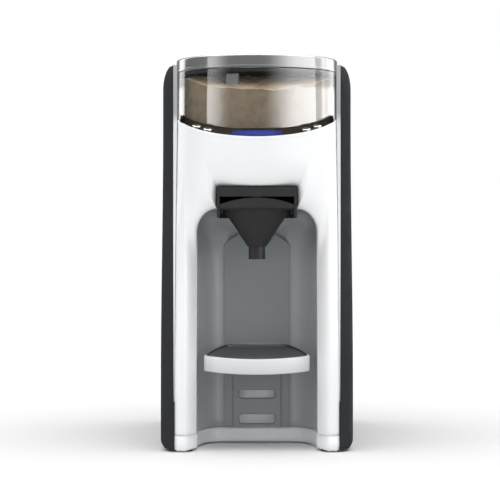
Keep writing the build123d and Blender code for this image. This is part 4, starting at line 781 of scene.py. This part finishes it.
def buildTrack():  # depth over a flat grid: arched plate, raised track, faint grooves and three rounded slots
    look = {"half": 31.6, "top": 205.0, "rise": 14.0, "low": 15.6, "face": -69.0, "soft": 0.35,
            "railHalf": 22.9, "railTop": 95.0, "rail": 0.8,
            "grooveX": 24.2, "groove": 0.5, "grooveHalf": 0.6, "grooveTop": 92.0,
            "slotHalf": 17.5, "slotZ": (23.3, 47.3, 71.3), "slotTall": (8.9, 7.6, 7.6), "slotRound": 3.0,
            "slotDeep": 3.6, "slotSoft": 0.8, "across": 253, "lowRows": 330, "highRows": 60, "lowShare": 0.42}
    x = np.linspace(-look["half"], look["half"], look["across"])[None, :]
    share = np.concatenate([np.linspace(0, look["lowShare"], look["lowRows"]),
                            np.linspace(look["lowShare"], 1, look["highRows"])[1:]])[:, None]
    radius = (look["half"] ** 2 + look["rise"] ** 2) / (2 * look["rise"])
    crown = look["top"] - radius + np.sqrt(radius ** 2 - x ** 2)
    z = look["low"] + (crown - look["low"]) * share
    x = np.broadcast_to(x, z.shape)

    def inside(distance, softness):  # 1 inside, 0 outside, over a short soft step
        return 1 - ease(-softness, softness, distance)

    rail = np.maximum(np.abs(x) - look["railHalf"], z - look["railTop"])
    groove = np.maximum(np.abs(np.abs(x) - look["grooveX"]) - look["grooveHalf"], z - look["grooveTop"])
    y = np.full_like(z, look["face"]) - look["rail"] * inside(rail, look["soft"])
    y += look["groove"] * inside(groove, look["soft"])
    for middle, tall in zip(look["slotZ"], look["slotTall"]):
        away = np.stack([np.abs(x) - look["slotHalf"] + look["slotRound"],
                         np.abs(z - middle) - tall / 2 + look["slotRound"]])
        slot = np.hypot(*np.maximum(away, 0)) + np.minimum(away.max(axis=0), 0) - look["slotRound"]
        y += look["slotDeep"] * inside(slot, look["slotSoft"])
    piece("track_face", "housing", [(np.stack([x, y, z], axis=-1)[:, ::-1], False, False)], "track_grey",
          "track_plate", sharp=60, outward=False)


buildBase()
buildKick()
buildTrack()
print("base, kick and track built")


# side panels: closed plan rings at many heights, pulled in by the rounded head

panel = {"low": 2.5, "top": 363.5, "half": 90.0, "topHalf": 89.8, "taperFrom": 60.0, "round": 24.0,
         "lipDeep": 7.0, "lipNose": 0.5, "noseGap": 0.6, "rearRound": 10.0, "rearGap": 2.0,
         "headX": 79.6, "headTall": 26.0, "noseZ": 338.0, "noseBack": 17.0, "tailZ": 346.0, "tailBack": 13.0,
         "footDraw": 3.2, "footHigh": 8.0, "upperRows": 24, "upperTall": 33.5,
         "footRows": (0, 0.3, 0.8, 1.6, 2.8, 4.2, 6, 8), "straightRows": (14, 330, 80)}


def drawnBack(z, start, amount):  # grows with the square of the way from a height up to the top
    return amount * max(0.0, (z - start) / (panel["top"] - start)) ** 2


def panelRing(z, count=64):  # plan of the right panel: front arc, straight side, rear arc, then the inner face
    p = panel
    outer = p["half"] + (p["topHalf"] - p["half"]) * ease(p["taperFrom"], p["top"], z)
    outer = outer - p["footDraw"] * (1 - ease(0, p["footHigh"], z - p["low"]) ** 0.5)
    lip, inner = float(panelEdgeX(z)), machine["panelInnerX"]
    near = float(cornerY(z)) - p["noseGap"] + drawnBack(z, p["noseZ"], p["noseBack"])
    far = machine["backY"] - drawnBack(z, p["tailZ"], p["tailBack"])
    width, long_, rearY, deepY = outer - lip, p["round"], far - p["rearRound"], near + p["lipDeep"]
    radius = (width * width + long_ * long_) / (2 * width)
    turn = np.linspace(math.asin(long_ / radius), 0, count)
    front = np.stack([outer - radius + radius * np.cos(turn), near + long_ - radius * np.sin(turn)], axis=-1)
    side = np.stack([np.full(24, outer), np.linspace(near + long_, rearY, 26)[1:-1]], axis=-1)
    turn = quarter(10)
    rear = np.stack([outer - (outer - inner) * (1 - np.cos(turn)), rearY + p["rearRound"] * np.sin(turn)], axis=-1)
    inside = np.stack([np.full(20, inner), np.linspace(far - p["rearGap"], deepY, 20)], axis=-1)
    ring = joined(front, side, rear, inside, [[lip, deepY], [lip, near + p["lipNose"]]])
    short = max(0.0, 1 - (p["top"] - z) / p["headTall"])  # 0 below the rounded head, 1 at its top
    head = p["headX"] + (p["topHalf"] - p["headX"]) * np.sqrt(max(0.0, 1 - short ** 2))
    ring[:, 0] = np.minimum(ring[:, 0], max(head, p["headX"]))
    return np.column_stack([ring, np.full(len(ring), z)])


def buildPanels():
    upper = panel["top"] - panel["upperTall"] * np.cos(np.linspace(0, halfTurn / 2, panel["upperRows"]))
    lower = panel["low"] + np.array(panel["footRows"])
    steps = np.concatenate([lower, np.linspace(*panel["straightRows"])[:-1], upper])
    right = np.array([panelRing(z) for z in steps])
    foot = np.broadcast_to(right[:1].mean(axis=1, keepdims=True), right[:1].shape)
    right = np.concatenate([foot, right])
    for name, side in (("left", -1), ("right", 1)):
        piece("side_" + name, "housing", [(right * [side, 1, 1], False, True)], "charcoal_panel",
              name + "_side_panel", sharp=38).visible_glossy = False


buildPanels()
print("panels built")


# valve spring: circle carried along a helix

def buildSpring():
    look = {"radius": 3.7, "wire": 0.35, "pitch": 1.6, "turns": 3, "perTurn": 40, "centreY": 90.0, "topZ": 71.55,
            "fixedZ": 71.8, "keep": 0.55}
    turn = np.linspace(0, 2 * halfTurn * look["turns"], look["perTurn"] * look["turns"] + 1)
    high = look["topZ"] - look["wire"]
    path = np.stack([look["radius"] * np.cos(turn), look["centreY"] + look["radius"] * np.sin(turn),
                     high - look["pitch"] * (look["turns"] - turn / (2 * halfTurn))], axis=-1)
    coil = piece("spring_coil", "tank", [(tube(path, look["wire"]), False, True)], "steel", "valve_spring")
    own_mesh(coil)


buildSpring()
print("spring built")


# studio: a pale floor, a camera and a world whose lights are painted by direction

camera = {"lens": 141.2, "sensor": 36, "y": -1.9625, "z": 0.204, "shiftX": -0.0138, "shiftY": -0.0366}

# each light's four angles from the front, or heights, are where it begins, is full, is full still and has ended
studio = {
    "ambient": 0.42, "softDiffuse": 0.6, "frontFill": 0.53, "overhead": 1.2,  # on dull surfaces
    "front": 0.25, "softGlossy": 5.6, "backdrop": 3.6, "topGlossy": 9.0,  # in reflections
    "leftBox": (-76, -74, -72, -36), "rightBox": (8, 64, 91, 93), "rightRim": (91, 93, 106, 116),
    "rightSoft": (40, 76, 88, 96), "behindLeft": (-152, -139, -129, -123), "behindRight": (102, 112, 134, 150),
    "facing": (-70, -10, 10, 70), "belt": (-0.35, -0.1, 0.62, 0.85), "top": (0.6, 0.8),
    "rightSoftShare": 0.5, "rightBoxShare": 1.8, "rightRimShare": 0.72, "behindRightShare": 1.45,
}


def buildWorld():
    world = bpy.data.worlds.new("studio")
    world.use_nodes = True
    tree, s = world.node_tree, studio

    def calc(operation, a, b):  # one maths node from sockets or plain numbers
        return addNode(tree, "Math", {0: a, 1: b}, operation).outputs[0]

    def rise(value, low, high):  # 0 below low, 1 above high, eased
        node = addNode(tree, "MapRange", {"Value": value, "From Min": low, "From Max": high})
        node.interpolation_type = "SMOOTHSTEP"
        return node.outputs["Result"]

    def lit(value, begins, full, still, ended):  # 1 between full and still, 0 outside begins and ended
        return calc("MULTIPLY", rise(value, begins, full), calc("SUBTRACT", 1.0, rise(value, still, ended)))

    def mixed(base, *terms):  # base, and each term times its share
        for value, share in terms:
            base = calc("ADD", base, calc("MULTIPLY", value, share))
        return base

    def pick(chosen, a, b):  # b where chosen is 1, else a
        return calc("ADD", calc("MULTIPLY", a, calc("SUBTRACT", 1.0, chosen)), calc("MULTIPLY", b, chosen))

    way = addNode(tree, "TexCoord", {}).outputs["Generated"]
    x, y, z = (along(tree, way, axis) for axis in "XYZ")
    angle = calc("MULTIPLY", calc("ARCTAN2", x, calc("MULTIPLY", y, -1.0)), 180 / math.pi)  # 0 faces the front
    boxNames = ("leftBox", "rightBox", "rightRim", "rightSoft", "behindLeft", "behindRight", "facing")
    box = {name: lit(angle, *s[name]) for name in boxNames}
    belt, top = lit(z, *s["belt"]), rise(z, *s["top"])
    boxes = calc("MULTIPLY", mixed(box["leftBox"], (box["rightSoft"], s["rightSoftShare"])), belt)
    shine = mixed(box["leftBox"], (box["rightBox"], s["rightBoxShare"]), (box["rightRim"], s["rightRimShare"]))
    shine = calc("MULTIPLY", shine, belt)
    behind = mixed(box["behindLeft"], (box["behindRight"], s["behindRightShare"]))
    glossy = mixed(s["front"], (shine, s["softGlossy"]), (behind, s["backdrop"]), (top, s["topGlossy"]))
    diffuse = mixed(s["ambient"], (boxes, s["softDiffuse"]), (box["facing"], s["frontFill"]), (top, s["overhead"]))
    path = addNode(tree, "LightPath", {})
    seen = calc("MAXIMUM", path.outputs["Is Camera Ray"], path.outputs["Is Transmission Ray"])
    strength = pick(seen, pick(path.outputs["Is Glossy Ray"], diffuse, glossy), 1.0)
    feed(tree, tree.nodes["Background"], {"Color": (1, 1, 1, 1), "Strength": strength})
    bpy.context.scene.world = world


def buildFloor():  # pale disc that clears towards its rim
    look = {"radius": 2.4, "pinhole": 0.001, "turns": 64, "tone": 0.9, "rough": 0.9, "clearFrom": 0.9, "clearTo": 2.2}
    angle = np.linspace(0, 2 * halfTurn, look["turns"], endpoint=False)
    r = np.array([look["pinhole"], look["radius"]])[:, None]
    x, y = r * np.cos(angle), r * np.sin(angle)
    mesh = bpy.data.meshes.new("floor")
    mesh.from_pydata(np.stack([x, y, np.zeros_like(x)], axis=-1).reshape(-1, 3).tolist(), [],
                     gridFaces(2, look["turns"], False, True)[:, ::-1].tolist())
    floor = bpy.data.objects.new("floor", mesh)
    bpy.context.scene.collection.objects.link(floor)
    mat, tree, shader, space = newMaterial("floor")
    tone = (look["tone"],) * 3 + (1,)
    feed(tree, shader, {"Base Color": tone, "Roughness": look["rough"], "Specular IOR Level": 0.0})
    length = addNode(tree, "VectorMath", {0: space}, "LENGTH").outputs["Value"]
    away = remapped(tree, length, look["clearFrom"], look["clearTo"])
    clearWhere(tree, shader, away, (1, 1, 1))
    floor.data.materials.append(mat)


def buildCamera():
    cam = bpy.data.cameras.new("camera")
    cam.lens, cam.sensor_width = camera["lens"], camera["sensor"]
    cam.shift_x, cam.shift_y = camera["shiftX"], camera["shiftY"]
    obj = bpy.data.objects.new("camera", cam)
    obj.location = (0, camera["y"], camera["z"])
    obj.rotation_euler = (halfTurn / 2, 0, 0)
    bpy.context.scene.collection.objects.link(obj)
    bpy.context.scene.camera = obj


buildWorld()
buildFloor()
buildCamera()
bpy.context.scene.view_settings.view_transform = "Standard"
print("studio ready")
